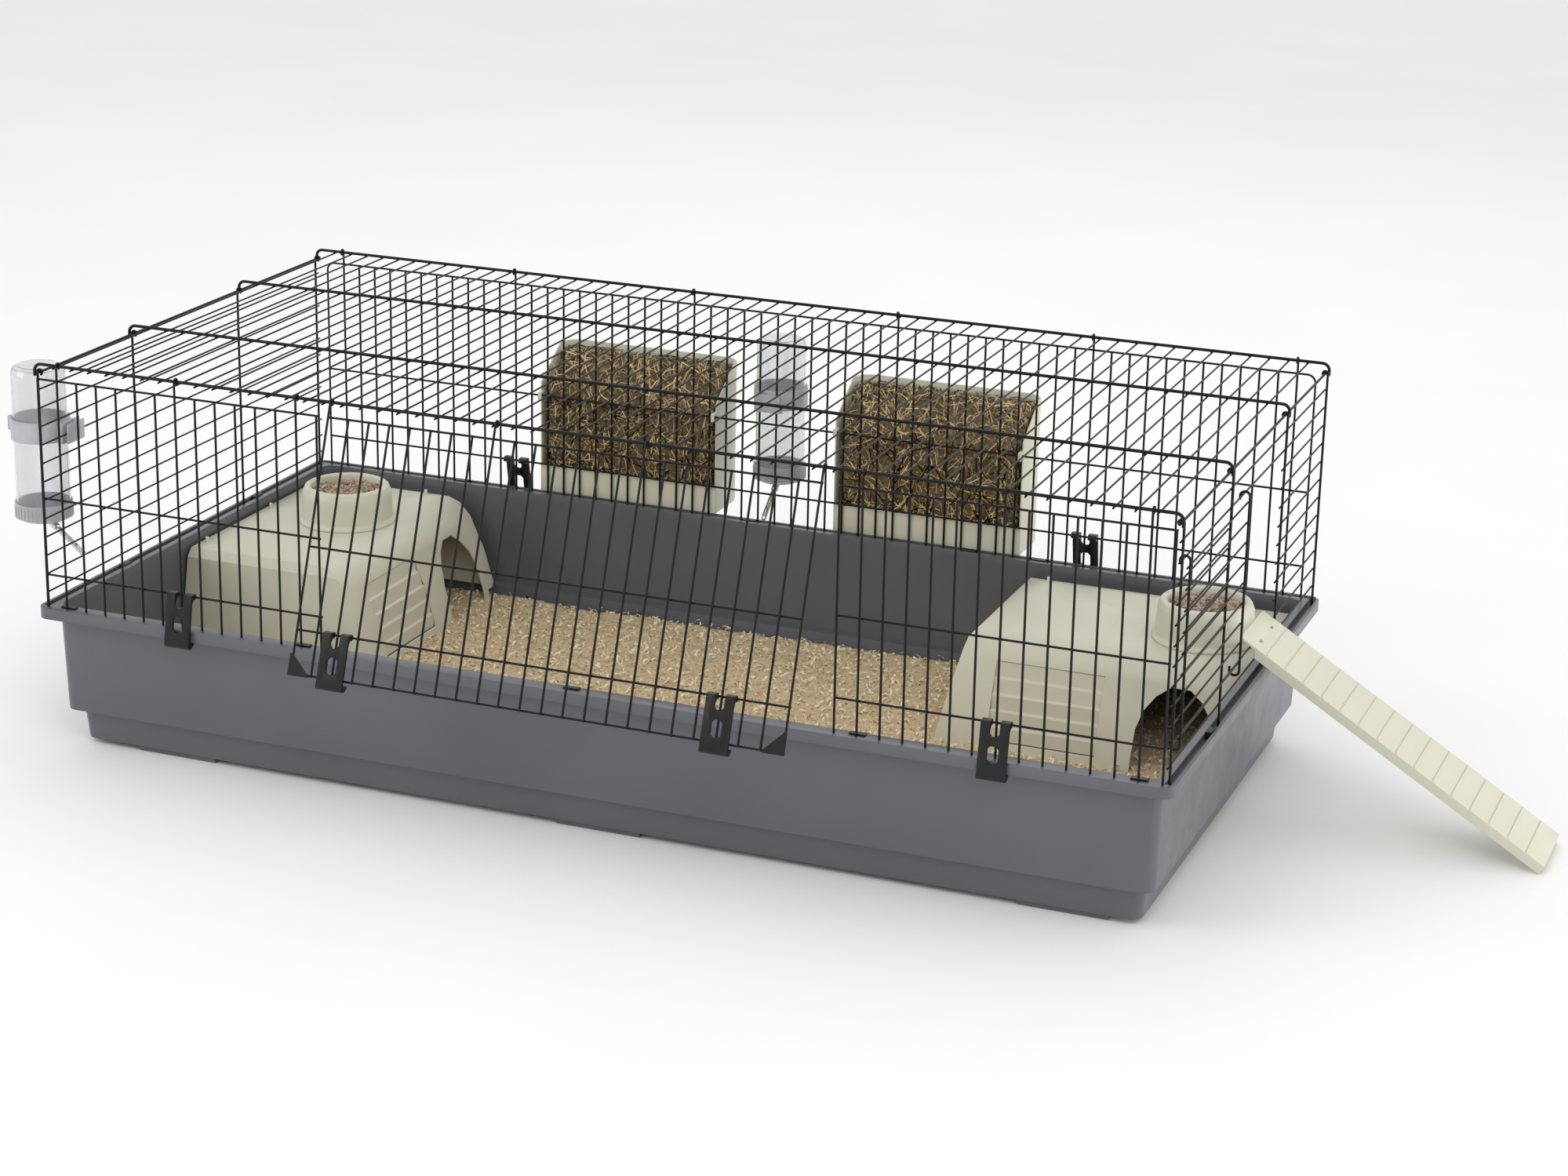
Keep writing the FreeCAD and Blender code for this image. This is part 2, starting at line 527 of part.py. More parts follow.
# ---- clips -----------------------------------------------------------------------------------
def build_clip(label, at, turn, carrier=None):
    """A latch clip: its X is the rail it swings on, -Z hangs down, -Y faces outwards."""
    body = new_body(label)
    side = new_sketch(body, "YZ_Plane")
    ear, chamfer = "clip_ear", "clip_ear * 0.4"
    face = "-(clip_stand + clip_thick)"
    points = [(ear, "-(%s)" % chamfer), (ear, chamfer), (chamfer, ear), ("-(%s)" % chamfer, ear),
              (face, "clip_ear * 0.5"), (face, "-clip_drop + 2"), ("%s + 2" % face, "-clip_drop"),
              ("0", "-clip_drop"), ("clip_lip", "-(clip_reach + 3)"), ("clip_lip", "-clip_reach"),
              ("-clip_stand", "-clip_reach"), ("-clip_stand", "-2 * clip_ear"),
              ("-(%s)" % chamfer, "-clip_ear"), (chamfer, "-clip_ear")]
    add_polygon(side, points)
    add_circle(side, "0", "0", "rail_rad + clip_gap")
    pad(body, side, "clip_width", centred=True)
    slot = new_sketch(body, "XZ_Plane")
    half = "(clip_slot / 2)"
    add_polygon(slot, [("-%s" % half, "2 * clip_ear"), ("-%s" % half, "-3 * clip_ear"),
                       ("-%s / 2" % half, "-4 * clip_ear"), ("%s / 2" % half, "-4 * clip_ear"),
                       (half, "-3 * clip_ear"), (half, "2 * clip_ear")])
    pocket(body, slot, "6 * clip_ear", centred=True)
    hole = new_sketch(body, "XZ_Plane", "clip_stand - 2")
    across, low, high = "(clip_hole / 2)", "(-clip_hole_drop - clip_hole / 2)", "(-clip_hole_drop + clip_hole / 2)"
    add_polygon(hole, [("-%s" % across, low), ("-%s / 2" % across, "%s - %s / 2" % (low, across)),
                       ("%s / 2" % across, "%s - %s / 2" % (low, across)), (across, low), (across, high),
                       ("%s / 2" % across, "%s + %s / 2" % (high, across)),
                       ("-%s / 2" % across, "%s + %s / 2" % (high, across)), ("-%s" % across, high)])
    mouth = pocket(body, hole, "clip_thick + 4", reverse=True)
    body.Tip = mouth
    place(body, at, turn, carrier)


def build_clips():
    tilt = FreeCAD.Rotation(FreeCAD.Vector(1, 0, 0), -value("clip_tilt"))
    hook = "front_start - 7 * front_pitch"
    build_clip("front_left_clip", ("-(%s)" % hook, "-%s" % RAIL_Y, "low_level"), tilt)
    build_clip("front_right_clip", (hook, "-%s" % RAIL_Y, "low_level"), tilt)
    for label, bay in (("back_left_clip", -17), ("back_right_clip", 17)):
        build_clip(label, ("%d * back_pitch" % bay, RAIL_Y, "low_level"), HALF_TURN.multiply(tilt))
    for label, bay in (("door_left_clip", 2), ("door_right_clip", 20)):
        build_clip(label, ("%s + %d * door_pitch" % (DOOR_LOW_X, bay), DOOR_RAIL_Y, "-door_low"), UP, door_frame())


# ---- sliding side door -----------------------------------------------------------------------
SLIDER_ROW_X = "(%s + side_rad + slider_gap + thin_rad)" % SIDE_X
SLIDER_X = "(%s + thin_rad + side_rad)" % SLIDER_ROW_X
HOOK_RAD = "((%s - %s + thin_rad + side_rad + 0.5) / 2)" % (SLIDER_X, ROW_X)


def build_side_door():
    lean = "(%s - %s + %s)" % (ROW_X, SLIDER_X, HOOK_RAD)
    reach = "(%s - thin_rad - side_rad - curl_gap)" % HOOK_RAD
    top = "(%s - sqrt(%s * %s - %s * %s))" % (HIGH_ROW, reach, reach, lean, lean)
    low = "(%s - 1)" % LOW_ROW
    rise = "(%s - %s)" % (top, low)
    outer = "-2 * %s" % HOOK_RAD
    runs = [("0", "0"), ("line", "0", "-hook_tail"), ("arc", "-%s" % HOOK_RAD, "-hook_tail", "0", "-180"),
            ("line", outer, "%s - hook_tail" % rise),
            ("arc", "-%s" % HOOK_RAD, "%s - hook_tail" % rise, "180", "0"), ("line", "0", "%s - 2 * hook_tail" % rise)]
    posts = bent_wire("side_door_posts", "side_rad", "YZ_Plane", runs, "2", "2 * slider_half")
    place(posts, ("%s - 2 * %s" % (SLIDER_X, HOOK_RAD), "-slider_open - slider_half", "%s + hook_tail" % low),
          RIGHT_SIDE)
    rows = wire_row("side_door_rows", "thin_rad", "2 * (slider_half + side_rad + row_over)", ["0"],
                    "slider_rows", "slider_row_pitch")
    place(rows, (SLIDER_ROW_X, "-slider_open - slider_half - side_rad - row_over", "slider_row_start"), ROWS_Y)


# ---- ramp ------------------------------------------------------------------------------------
def build_ramp():
    """Its X runs down the slope from the row it hooks on, its Z is square to the tread."""
    body = new_body("ramp")
    top = "(ramp_seat + ramp_thick)"
    section = new_sketch(body, "XZ_Plane")
    add_polygon(section, [("-ramp_nose", "ramp_seat"), ("ramp_length", "ramp_seat"), ("ramp_length", top),
                          ("-ramp_nose", top)])
    pad(body, section, "ramp_width", centred=True)
    skirt = new_sketch(body, "XZ_Plane", "ramp_width / 2 - ramp_flange_wall")
    start = "(lug_rad + 2)"
    add_polygon(skirt, [(start, "ramp_seat + 0.5"), ("%s + 8" % start, "%s - ramp_flange" % top),
                        ("ramp_length", "%s - ramp_flange" % top), ("ramp_length", "ramp_seat + 0.5")])
    side = pad(body, skirt, "ramp_flange_wall")
    mirror = body.newObject("PartDesign::Mirrored", "ramp_mirror")
    mirror.Originals = [side]
    mirror.MirrorPlane = (datum(body, "XZ_Plane"), [""])
    body.Tip = mirror
    lugs = new_sketch(body, "XZ_Plane", "lug_spacing / 2 - lug_width / 2")
    add_circle(lugs, "0", "0", "lug_rad")
    lug = pad(body, lugs, "lug_width")
    other = body.newObject("PartDesign::Mirrored", "ramp_lugs")
    other.Originals = [lug]
    other.MirrorPlane = (datum(body, "XZ_Plane"), [""])
    body.Tip = other
    bore = new_sketch(body, "XZ_Plane")
    add_circle(bore, "0", "0", "thin_rad + lug_gap")
    pocket(body, bore, "ramp_width", centred=True)
    mouth = new_sketch(body, "XZ_Plane")
    add_polygon(mouth, [("-thin_rad * 0.8", "0"), ("thin_rad * 0.8", "0"), ("thin_rad * 0.8", "-2 * lug_rad"),
                        ("-thin_rad * 0.8", "-2 * lug_rad")])
    pocket(body, mouth, "ramp_width", centred=True)
    for spot in (-1, 1):
        window = new_sketch(body, "XY_Plane", "ramp_seat - 1")
        centre = "%d * lug_spacing / 2" % spot
        add_polygon(window, [("lug_rad + 0.6", "%s - 5" % centre), ("lug_rad + 4.6", "%s - 5" % centre),
                             ("lug_rad + 4.6", "%s + 5" % centre), ("lug_rad + 0.6", "%s + 5" % centre)])
        pocket(body, window, "ramp_thick + 2", reverse=True)
    ridge = new_sketch(body, "XZ_Plane")
    first = "(ridge_pitch * 0.8)"
    add_polygon(ridge, [(first, "%s - 0.5" % top), ("%s + ridge_width" % first, "%s - 0.5" % top),
                        ("%s + ridge_width" % first, "%s + ridge_rise" % top), (first, "%s + ridge_rise" % top)])
    rib = pad(body, ridge, "ramp_width - 2 * ramp_flange_wall", centred=True)
    pattern(body, rib, "ridge_pitch", "ridge_count")
    place(body, (ROW_X, "ramp_centre", LOW_ROW),
          FreeCAD.Rotation(FreeCAD.Vector(0, 1, 0), value("ramp_angle")))


# ---- hay racks -------------------------------------------------------------------------------
ROUND_STEPS = ((0, 1), (0.076, 0.617), (0.293, 0.293), (0.617, 0.076), (1, 0))


def tub_outline(half, front, back, corner):
    """A plan outline about the body's Y with its two back corners rounded."""
    right = [("%s - %s * %s" % (half, corner, out), "%s - %s * %s" % (back, corner, along))
             for out, along in ROUND_STEPS]
    left = [("-(%s)" % across, along) for across, along in reversed(right)]
    return [(half, front)] + right + left + [("-(%s)" % half, front)]


def build_rack(label, hay_label, centre):
    body = new_body(label)
    outline = new_sketch(body, "XY_Plane")
    add_polygon(outline, tub_outline("(rack_width / 2)", "0", "rack_depth", "rack_corner"))
    pad(body, outline, "rack_back - rack_bottom")
    inside = new_sketch(body, "XY_Plane", "rack_wall")
    half = "(rack_width / 2 - rack_wall)"
    add_polygon(inside, tub_outline(half, "rack_wall", "(rack_depth - rack_wall)", "(rack_corner - rack_wall)"))
    pocket(body, inside, "rack_back", reverse=True)
    brow = new_sketch(body, "YZ_Plane")
    add_polygon(brow, [("-1", "rack_front - rack_bottom"), ("0.7 * rack_depth", "rack_back - rack_bottom"),
                       ("0.7 * rack_depth", "rack_back - rack_bottom + 1"), ("-1", "rack_back - rack_bottom + 1")])
    pocket(body, brow, "2 * rack_width", centred=True)
    mouth = new_sketch(body, "XZ_Plane")
    lip, top = "(rack_lip - rack_bottom)", "(rack_back - rack_bottom + 1)"
    add_polygon(mouth, [("-%s" % half, lip), (half, lip), (half, top), ("-%s" % half, top)])
    pocket(body, mouth, "2 * rack_wall + 2", centred=True)
    reach = "(%s + upright_rad + rack_gap - %s)" % (UPRIGHT_Y, RAIL_Y)
    hook = new_sketch(body, "YZ_Plane", "rack_width / 2 - hook_width")
    seat = "(mid_level + rail_rad + seat_gap - rack_bottom)"
    inner = "-(%s + rail_rad + 0.8)" % reach
    add_polygon(hook, [("rack_wall + 1", seat), (inner, seat), (inner, "%s - 9" % seat),
                       ("%s - 2.5" % inner, "%s - 9" % seat), ("%s - 2.5" % inner, "%s + 4" % seat),
                       ("rack_wall + 1", "%s + 4" % seat)])
    tongue = pad(body, hook, "hook_width")
    mirror = body.newObject("PartDesign::Mirrored", label + "_hooks")
    mirror.Originals = [tongue]
    mirror.MirrorPlane = (datum(body, "YZ_Plane"), [""])
    body.Tip = mirror
    at = (centre, "%s + upright_rad + rack_gap" % UPRIGHT_Y, "rack_bottom")
    place(body, at)
    hay = new_body(hay_label)
    bale = new_sketch(hay, "XY_Plane", "rack_wall + seat_gap")
    add_polygon(bale, tub_outline("(%s - hook_width)" % half, "rack_wall + 0.5",
                                  "(rack_depth - rack_wall - 1)", "(rack_corner - rack_wall)"))
    pad(hay, bale, "rack_back - rack_bottom - 14")
    slope = new_sketch(hay, "YZ_Plane")
    add_polygon(slope, [("-1", "rack_front - rack_bottom - 16"), ("0.7 * rack_depth", "rack_back - rack_bottom - 16"),
                        ("0.7 * rack_depth", "rack_back"), ("-1", "rack_back")])
    hay.Tip = pocket(hay, slope, "2 * rack_width", centred=True)
    place(hay, at)


# ---- bottles ---------------------------------------------------------------------------------
def revolve(body, points):
    """Turns a half section (radius, height) about the body's Z."""
    sketch = new_sketch(body, "XZ_Plane")
    add_polygon(sketch, points)
    turned = body.newObject("PartDesign::Revolution", body.Label + "_turned")
    turned.Profile = sketch
    turned.ReferenceAxis = (datum(body, "Z_Axis"), [""])
    turned.Angle = 360
    body.Tip = turned
    return turned


BOTTLE_OUT = "(plate_thick + ring_neck + ring_wall + bottle_gap + bottle_rad)"


def build_bottle(name, at, turn, grip):
    """Its axis is Z, the wires are towards -Y, z = 0 is under the cap, grip is the wires' depth."""
    bottle = new_body(name + "_bottle")
    base = "(cap_floor + seat_gap)"
    revolve(bottle, [("bottle_rad - bottle_wall", base), ("bottle_rad", base), ("bottle_rad", "bottle_height - 10"),
                     ("bottle_rad - 3", "bottle_height - 3"), ("bottle_rad - 10", "bottle_height"), ("0", "bottle_height"),
                     ("0", "bottle_height - bottle_wall"), ("bottle_rad - 10", "bottle_height - bottle_wall"),
                     ("bottle_rad - bottle_wall - 2.5", "bottle_height - 4"),
                     ("bottle_rad - bottle_wall", "bottle_height - 10.5")])
    place(bottle, at, turn)
    cap = new_body(name + "_bottle_cap")
    revolve(cap, [("0", "0"), ("bottle_rad - 6", "0"), ("bottle_rad + bottle_gap + cap_wall", "5"),
                  ("bottle_rad + bottle_gap + cap_wall", "cap_height"), ("bottle_rad + bottle_gap", "cap_height"),
                  ("bottle_rad + bottle_gap", "cap_floor"), ("0", "cap_floor")])
    place(cap, at, turn)
    holder = new_body(name + "_bottle_holder")
    inner, outer = "(bottle_rad + bottle_gap)", "(bottle_rad + bottle_gap + ring_wall)"
    sketch = new_sketch(holder, "XY_Plane", "ring_above_cap - ring_height / 2")
    add_circle(sketch, "0", "0", outer)
    pad(holder, sketch, "ring_height")
    neck = new_sketch(holder, "XY_Plane", "ring_above_cap - ring_height / 2")
    add_polygon(neck, [("-plate_width / 4", "-%s" % BOTTLE_OUT), ("plate_width / 4", "-%s" % BOTTLE_OUT),
                       ("plate_width / 4", "-bottle_rad"), ("-plate_width / 4", "-bottle_rad")])
    pad(holder, neck, "ring_height")
    plate = new_sketch(holder, "XZ_Plane", "%s - plate_thick" % BOTTLE_OUT)
    level = "ring_above_cap"
    add_polygon(plate, [("-plate_width / 2", "%s - ring_height / 2" % level), ("plate_width / 2", "%s - ring_height / 2" % level),
                        ("plate_width / 2", "%s + ring_height / 2" % level), ("-plate_width / 2", "%s + ring_height / 2" % level)])
    pad(holder, plate, "plate_thick")
    lug = new_sketch(holder, "XY_Plane", "ring_above_cap - ring_height / 3")
    add_polygon(lug, [("-4", "bottle_rad + 1"), ("4", "bottle_rad + 1"), ("4", "%s + 10" % outer), ("-4", "%s + 10" % outer)])
    pad(holder, lug, "ring_height * 2 / 3")
    bore = new_sketch(holder, "XY_Plane", "ring_above_cap - ring_height")
    add_circle(bore, "0", "0", inner)
    pocket(holder, bore, "2 * ring_height", reverse=True)
    pins = new_sketch(holder, "XZ_Plane", "%s - 1" % BOTTLE_OUT)
    add_circle(pins, "0", "ring_above_cap - pin_step", "pin_rad")
    add_circle(pins, "0", "ring_above_cap + pin_step", "pin_rad")
    pad(holder, pins, "2 + %s" % grip)
    clamp = new_sketch(holder, "XZ_Plane", "%s + %s + seat_gap" % (BOTTLE_OUT, grip))
    add_polygon(clamp, [("-plate_width * 0.45", "%s - ring_height * 0.45" % level), ("plate_width * 0.45", "%s - ring_height * 0.45" % level),
                        ("plate_width * 0.45", "%s + ring_height * 0.45" % level), ("-plate_width * 0.45", "%s + ring_height * 0.45" % level)])
    holder.Tip = pad(holder, clamp, "2.5")
    place(holder, at, turn)
    slope = math.degrees(math.atan2(value("spout_reach - 10"), value("spout_drop - 4")))
    run = "sqrt((spout_reach - 10) * (spout_reach - 10) + (spout_drop - 4) * (spout_drop - 4))"
    spout = new_body(name + "_bottle_spout")
    revolve(spout, [("0", "2"), ("spout_rad + 1.5", "2"), ("spout_rad + 1.5", "12"), ("spout_rad", "14"),
                    ("spout_rad", "%s - 3" % run), ("spout_rad - 1", run), ("ball_rad - 0.4", run),
                    ("ball_rad - 0.8", "%s + 0.9" % run), ("0", "%s + 1.6" % run)])
    tilt = FreeCAD.Rotation(FreeCAD.Vector(1, 0, 0), 180 - slope)
    spot = FreeCAD.Placement(FreeCAD.Vector(*[value(part) for part in at]), turn)
    place(spout, ("0", "-10", "-4"), tilt, spot)


def build_bottles():
    build_bottle("left", ("-(%s + side_rad + %s)" % (SIDE_X, BOTTLE_OUT), "left_bottle_y",
                          "row_start + row_pitch * left_bottle_row - ring_above_cap"),
                 RIGHT_SIDE, "2 * (side_rad + thin_rad)")
    build_bottle("back", ("back_bottle_bay * back_pitch", "%s + upright_rad + %s" % (UPRIGHT_Y, BOTTLE_OUT),
                          "back_bottle_level - ring_above_cap"), UP, "2 * (upright_rad + rail_rad)")


# ---- hideouts, bowls and bedding --------------------------------------------------------------
HOUSE_PROFILE = [("0", "house_roof"), ("-225", "house_roof"), ("-244", "house_roof - 7"), ("-262", "house_roof - 26"),
                 ("-286", "house_roof - 78"), ("-303", "60"), ("-312", FLOOR_TOP)]


def build_house(name, corner, turn):
    """Its own origin is the corner that stands in the tray's corner; the entrance faces -Y."""
    body = new_body(name + "_hideout")
    wall, width = "house_wall", "house_width"
    side = new_sketch(body, "YZ_Plane")
    base = "(%s + seat_gap)" % FLOOR_TOP
    outer = [(across, up if up != FLOOR_TOP else base) for across, up in HOUSE_PROFILE]
    add_polygon(side, outer + [("0", base)])
    pad(body, side, "%s + house_slope" % width, reverse=True)
    ends = new_sketch(body, "XZ_Plane")
    add_polygon(ends, [("-%s - house_slope - 5" % width, "0"), ("-%s - house_slope" % width, base),
                       ("-%s" % width, "house_roof - 12"), ("-%s + 12" % width, "house_roof + 1"),
                       ("-%s + 12" % width, "house_roof + 5"), ("-%s - house_slope - 5" % width, "house_roof + 5")])
    pocket(body, ends, "1000", centred=True)
    hollow = new_sketch(body, "YZ_Plane", "-%s" % wall)
    inner = [("-%s" % wall, "house_roof - %s" % wall), ("-223", "house_roof - %s" % wall),
             ("-241", "house_roof - 10"), ("-259", "house_roof - 28"), ("-283", "house_roof - 79"),
             ("-299.5", "60"), ("-309", "0"), ("-%s" % wall, "0")]
    add_polygon(hollow, inner)
    pocket(body, hollow, "%s - 14 - %s" % (width, wall))
    flare = new_sketch(body, "XZ_Plane", "%s" % wall)
    add_polygon(flare, [("-%s - house_slope + 3" % width, "0"), ("-%s + 3.2" % width, "house_roof - 13"),
                        ("-%s + 14.2" % width, "house_roof - %s" % wall), ("-%s + 20" % width, "house_roof - %s" % wall),
                        ("-%s + 20" % width, "0")])
    pocket(body, flare, "218", reverse=True)
    lower = new_sketch(body, "XZ_Plane", "200")
    add_polygon(lower, [("-%s - house_slope + 3" % width, "0"), ("-%s - 9" % width, "120"), ("-%s + 20" % width, "120"),
                        ("-%s + 20" % width, "0")])
    pocket(body, lower, "76", reverse=True)
    arch = new_sketch(body, "XZ_Plane", "200")
    near, far = "(-arch_from_end + arch_width / 2)", "(-arch_from_end - arch_width / 2)"
    top, knee = "arch_top", "(arch_top - arch_width / 2)"
    add_polygon(arch, [(far, "0"), ("%s + 4" % far, knee), ("%s + 12" % far, "%s + 26" % knee),
                       ("%s + 27" % far, "%s + 46" % knee), ("-arch_from_end - 14", top), ("-arch_from_end + 14", top),
                       ("%s - 27" % near, "%s + 46" % knee), ("%s - 12" % near, "%s + 26" % knee),
                       ("%s - 4" % near, knee), (near, "0")])
    pocket(body, arch, "200", reverse=True)
    ledge = new_sketch(body, "XY_Plane", "step_level + tray_wall + seat_gap")
    add_polygon(ledge, [("-ledge_clear", "-500"), ("-ledge_clear", "-ledge_clear"),
                        ("-%s - 100" % width, "-ledge_clear"), ("-%s - 100" % width, "20"),
                        ("20", "20"), ("20", "-500")])
    pocket(body, ledge, "200")
    for number, (across, along) in enumerate((("-172", "-9"), ("-9", "-190"), ("-359", "-9"))):
        peg = new_sketch(body, "XY_Plane", "house_roof - 1")
        add_circle(peg, across, along, "peg_rad")
        body.Tip = pad(body, peg, "peg_height + 1")
    place(body, corner, turn)


def build_bowl(name, at):
    bowl = new_body(name + "_bowl")
    revolve(bowl, [("0", "0"), ("bowl_rad", "0"), ("bowl_rad", "3.5"), ("bowl_rad - 4", "8"),
                   ("bowl_rad - 6", "bowl_height - 12"), ("bowl_rad - 10", "bowl_height - 2.5"),
                   ("bowl_mouth + 3", "bowl_height"), ("bowl_mouth", "bowl_height - 3"),
                   ("bowl_mouth - 3", "14"), ("bowl_mouth - 8", "9"), ("0", "9")])
    place(bowl, at)
    feed = new_body(name + "_pellets")
    revolve(feed, [("0", "9.3"), ("bowl_mouth - 9", "9.3"), ("bowl_mouth - 4", "15"),
                   ("bowl_mouth - 1.2", "bowl_height - 14"), ("bowl_mouth * 0.6", "bowl_height - 10"),
                   ("0", "bowl_height - 9")])
    place(feed, at)


def build_furniture():
    build_house("right", ("house_corner_x", "house_corner_y", "0"), UP)
    build_house("left", ("left_house_x", "house_corner_y", "0"), RIGHT_SIDE)
    level = "house_roof + seat_gap"
    build_bowl("right", ("bowl_right_x", "bowl_right_y", level))
    build_bowl("left", ("bowl_left_x", "bowl_left_y", level))
    body = new_body("bedding")
    litter = new_sketch(body, "XY_Plane", "%s + seat_gap" % FLOOR_TOP)
    edge_x = "(tray_length / 2 - lower_inset_low - tray_wall - 1)"
    edge_y = "(tray_width / 2 - lower_inset_low - tray_wall - 1)"
    left_x, right_x = "(left_house_x + 314)", "(house_corner_x - house_width - house_slope - 2)"
    left_y, right_y = "(house_corner_y - house_width - house_slope - 2)", "(house_corner_y - 314)"
    add_polygon(litter, [("-%s" % edge_x, "-%s + tray_corner" % edge_y),
                         ("-%s + tray_corner" % edge_x, "-%s" % edge_y),
                         ("%s - tray_corner" % edge_x, "-%s" % edge_y),
                         (edge_x, "-%s + tray_corner" % edge_y), (edge_x, right_y),
                         (right_x, right_y), (right_x, edge_y), (left_x, edge_y), (left_x, left_y),
                         ("-%s" % edge_x, left_y)])
    pad(body, litter, "bedding_top - %s - seat_gap" % FLOOR_TOP)
    place(body, ("0", "0", "0"))


build_tray()
build_rim_fittings()
build_roof()
build_back()
build_front_section("left", "-front_start")
build_front_section("right", "(front_start - 14 * front_pitch)")
build_side("left")
build_side("right")
build_door()
build_clips()
build_side_door()
build_ramp()
build_rack("left_hay_rack", "left_hay", "rack_left")
build_rack("right_hay_rack", "right_hay", "rack_right")
build_bottles()
build_furniture()
doc.recompute()

# ---- every object must be sound before anything is written -------------------------------------
for thing in doc.Objects:
    if "Invalid" in thing.State or "Error" in thing.State:
        raise RuntimeError("%s (%s) failed: %s" % (thing.Name, thing.Label, thing.State))
for node in nodes:
    if node.Shape.isNull() or not node.Shape.isValid() or node.Shape.Volume <= 0:
        raise RuntimeError("%s has no sound shape" % node.Label)

os.makedirs("parts", exist_ok=True)
for node in nodes:
    node.Shape.exportStep("parts/%s.step" % node.Label)
    print("%-28s %3d solids %10.1f mm3" % (node.Label, len(node.Shape.Solids), node.Shape.Volume))
print(len(nodes), "nodes")
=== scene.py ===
import json
import math

import bmesh
import bpy
from mathutils import Euler, Matrix, Vector, noise


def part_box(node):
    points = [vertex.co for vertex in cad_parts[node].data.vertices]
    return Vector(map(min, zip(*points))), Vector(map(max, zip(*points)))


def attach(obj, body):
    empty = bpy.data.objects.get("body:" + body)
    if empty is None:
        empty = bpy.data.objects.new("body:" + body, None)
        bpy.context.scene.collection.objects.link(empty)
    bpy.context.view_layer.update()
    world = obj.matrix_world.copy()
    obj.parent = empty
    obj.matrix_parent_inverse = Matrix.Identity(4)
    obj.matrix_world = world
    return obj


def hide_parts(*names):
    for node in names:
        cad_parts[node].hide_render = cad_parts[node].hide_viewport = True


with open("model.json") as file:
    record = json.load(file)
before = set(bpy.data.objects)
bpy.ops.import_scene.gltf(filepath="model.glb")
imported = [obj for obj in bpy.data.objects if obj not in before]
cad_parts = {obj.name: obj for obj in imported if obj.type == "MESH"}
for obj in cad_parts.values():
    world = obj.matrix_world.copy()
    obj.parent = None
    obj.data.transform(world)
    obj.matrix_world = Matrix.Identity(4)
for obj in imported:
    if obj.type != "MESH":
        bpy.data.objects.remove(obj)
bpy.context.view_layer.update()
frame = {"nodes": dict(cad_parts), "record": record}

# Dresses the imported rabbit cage: every CAD node gets its finish, the moulded plastic gets
# rounded edges, and the loose fill (shavings, hay and pellets) is grown on the CAD fill.
# All lengths are metres in the CAD model's frame.

bl_info = {
    "name": "Rabbit cage dresser",
    "version": (1, 0, 0),
    "blender": (4, 5, 0),
    "location": "View3D > Sidebar > Cage",
    "description": "Finishes, rounded mouldings and loose fill for a wire rabbit cage",
    "category": "Object",
}

CAGE = "cage"


# ---- settings ---------------------------------------------------------------------------------
def colour(name, description, value):
    """A colour that a user can change."""
    return bpy.props.FloatVectorProperty(
        name=name, description=description, default=value, size=3, min=0.0, max=1.0, subtype="COLOR")


def length(name, description, value, least=0.0):
    """A length that a user can change, in metres."""
    return bpy.props.FloatProperty(
        name=name, description=description, default=value, min=least, unit="LENGTH", precision=4)


class CageColours(bpy.types.PropertyGroup):
    """Base colours of the cage's finishes."""

    wire: colour("Wire", "Coated wire of the hood and doors", (0.0045, 0.0045, 0.005))
    tray: colour("Tray", "Moulded base", (0.097, 0.099, 0.113))
    black_plastic: colour("Black plastic", "Clips and corner pieces", (0.008, 0.008, 0.009))
    cream: colour("Cream plastic", "Hideouts, bowls, ramp and racks", (0.615, 0.60, 0.475))
    bottle: colour("Bottle", "Clear bottle", (0.96, 0.97, 0.98))
    grey_plastic: colour("Bottle fittings", "Caps and holders", (0.66, 0.665, 0.70))
    steel: colour("Spout", "Drawn steel tube", (0.55, 0.55, 0.54))
    # The dark hay colour tints the darkest stalks and also paints the shade on the hay's core deep in the
    # racks.
    hay_dark_and_shade: colour("Hay, dark", "Stalks deep in the racks", (0.12, 0.083, 0.036))
    hay_light: colour("Hay, light", "Dry stalks on the outside", (0.88, 0.68, 0.35))
    hay_green: colour("Hay, green", "Leafy stalks", (0.36, 0.27, 0.12))
    shavings_dark: colour("Shavings, dark", "Hearts of the wood shavings", (0.53, 0.40, 0.22))
    shavings_light: colour("Shavings, light", "Pale wood shavings", (0.90, 0.79, 0.57))
    pellets_dark: colour("Pellets, dark", "Dark feed", (0.13, 0.085, 0.055))
    pellets_light: colour("Pellets, light", "Pale feed", (0.52, 0.40, 0.28))


class CageSizes(bpy.types.PropertyGroup):
    """Sizes of the details that are added to the CAD shapes."""

    edge_round: length("Edge rounding", "Radius on the edges of the mouldings", 0.0011)
    litter_cell: length("Litter cell", "Spacing of the litter's surface grid", 0.009, 0.002)
    litter_wave: length("Litter wave", "Height of the dents in the litter", 0.006)
    shaving: length("Shaving", "Radius of one curled shaving", 0.0034, 0.001)
    shaving_width: length("Shaving width", "Width of one curled shaving", 0.003, 0.0005)
    stalk: length("Stalk", "Length of a hay stalk", 0.052, 0.005)
    stalk_radius: length("Stalk radius", "Radius of a hay stalk", 0.0008, 0.0001)
    pellet: length("Pellet", "Length of a feed pellet", 0.008, 0.001)
    pellet_radius: length("Pellet radius", "Radius of a feed pellet", 0.0021, 0.0005)
    weld: length("Weld", "Radius of the weld where two wires cross", 0.0019, 0.0005)
    shavings: bpy.props.IntProperty(
        name="Shavings", description="Shavings in each quarter of the tray", default=5200, min=1)
    stalks: bpy.props.IntProperty(
        name="Stalks", description="Stalks in each rack", default=3800, min=1)
    pellets: bpy.props.IntProperty(
        name="Pellets", description="Pellets on each bowl's heap", default=420, min=1)
    seed: bpy.props.IntProperty(
        name="Seed", description="Seed of everything that is scattered", default=7)


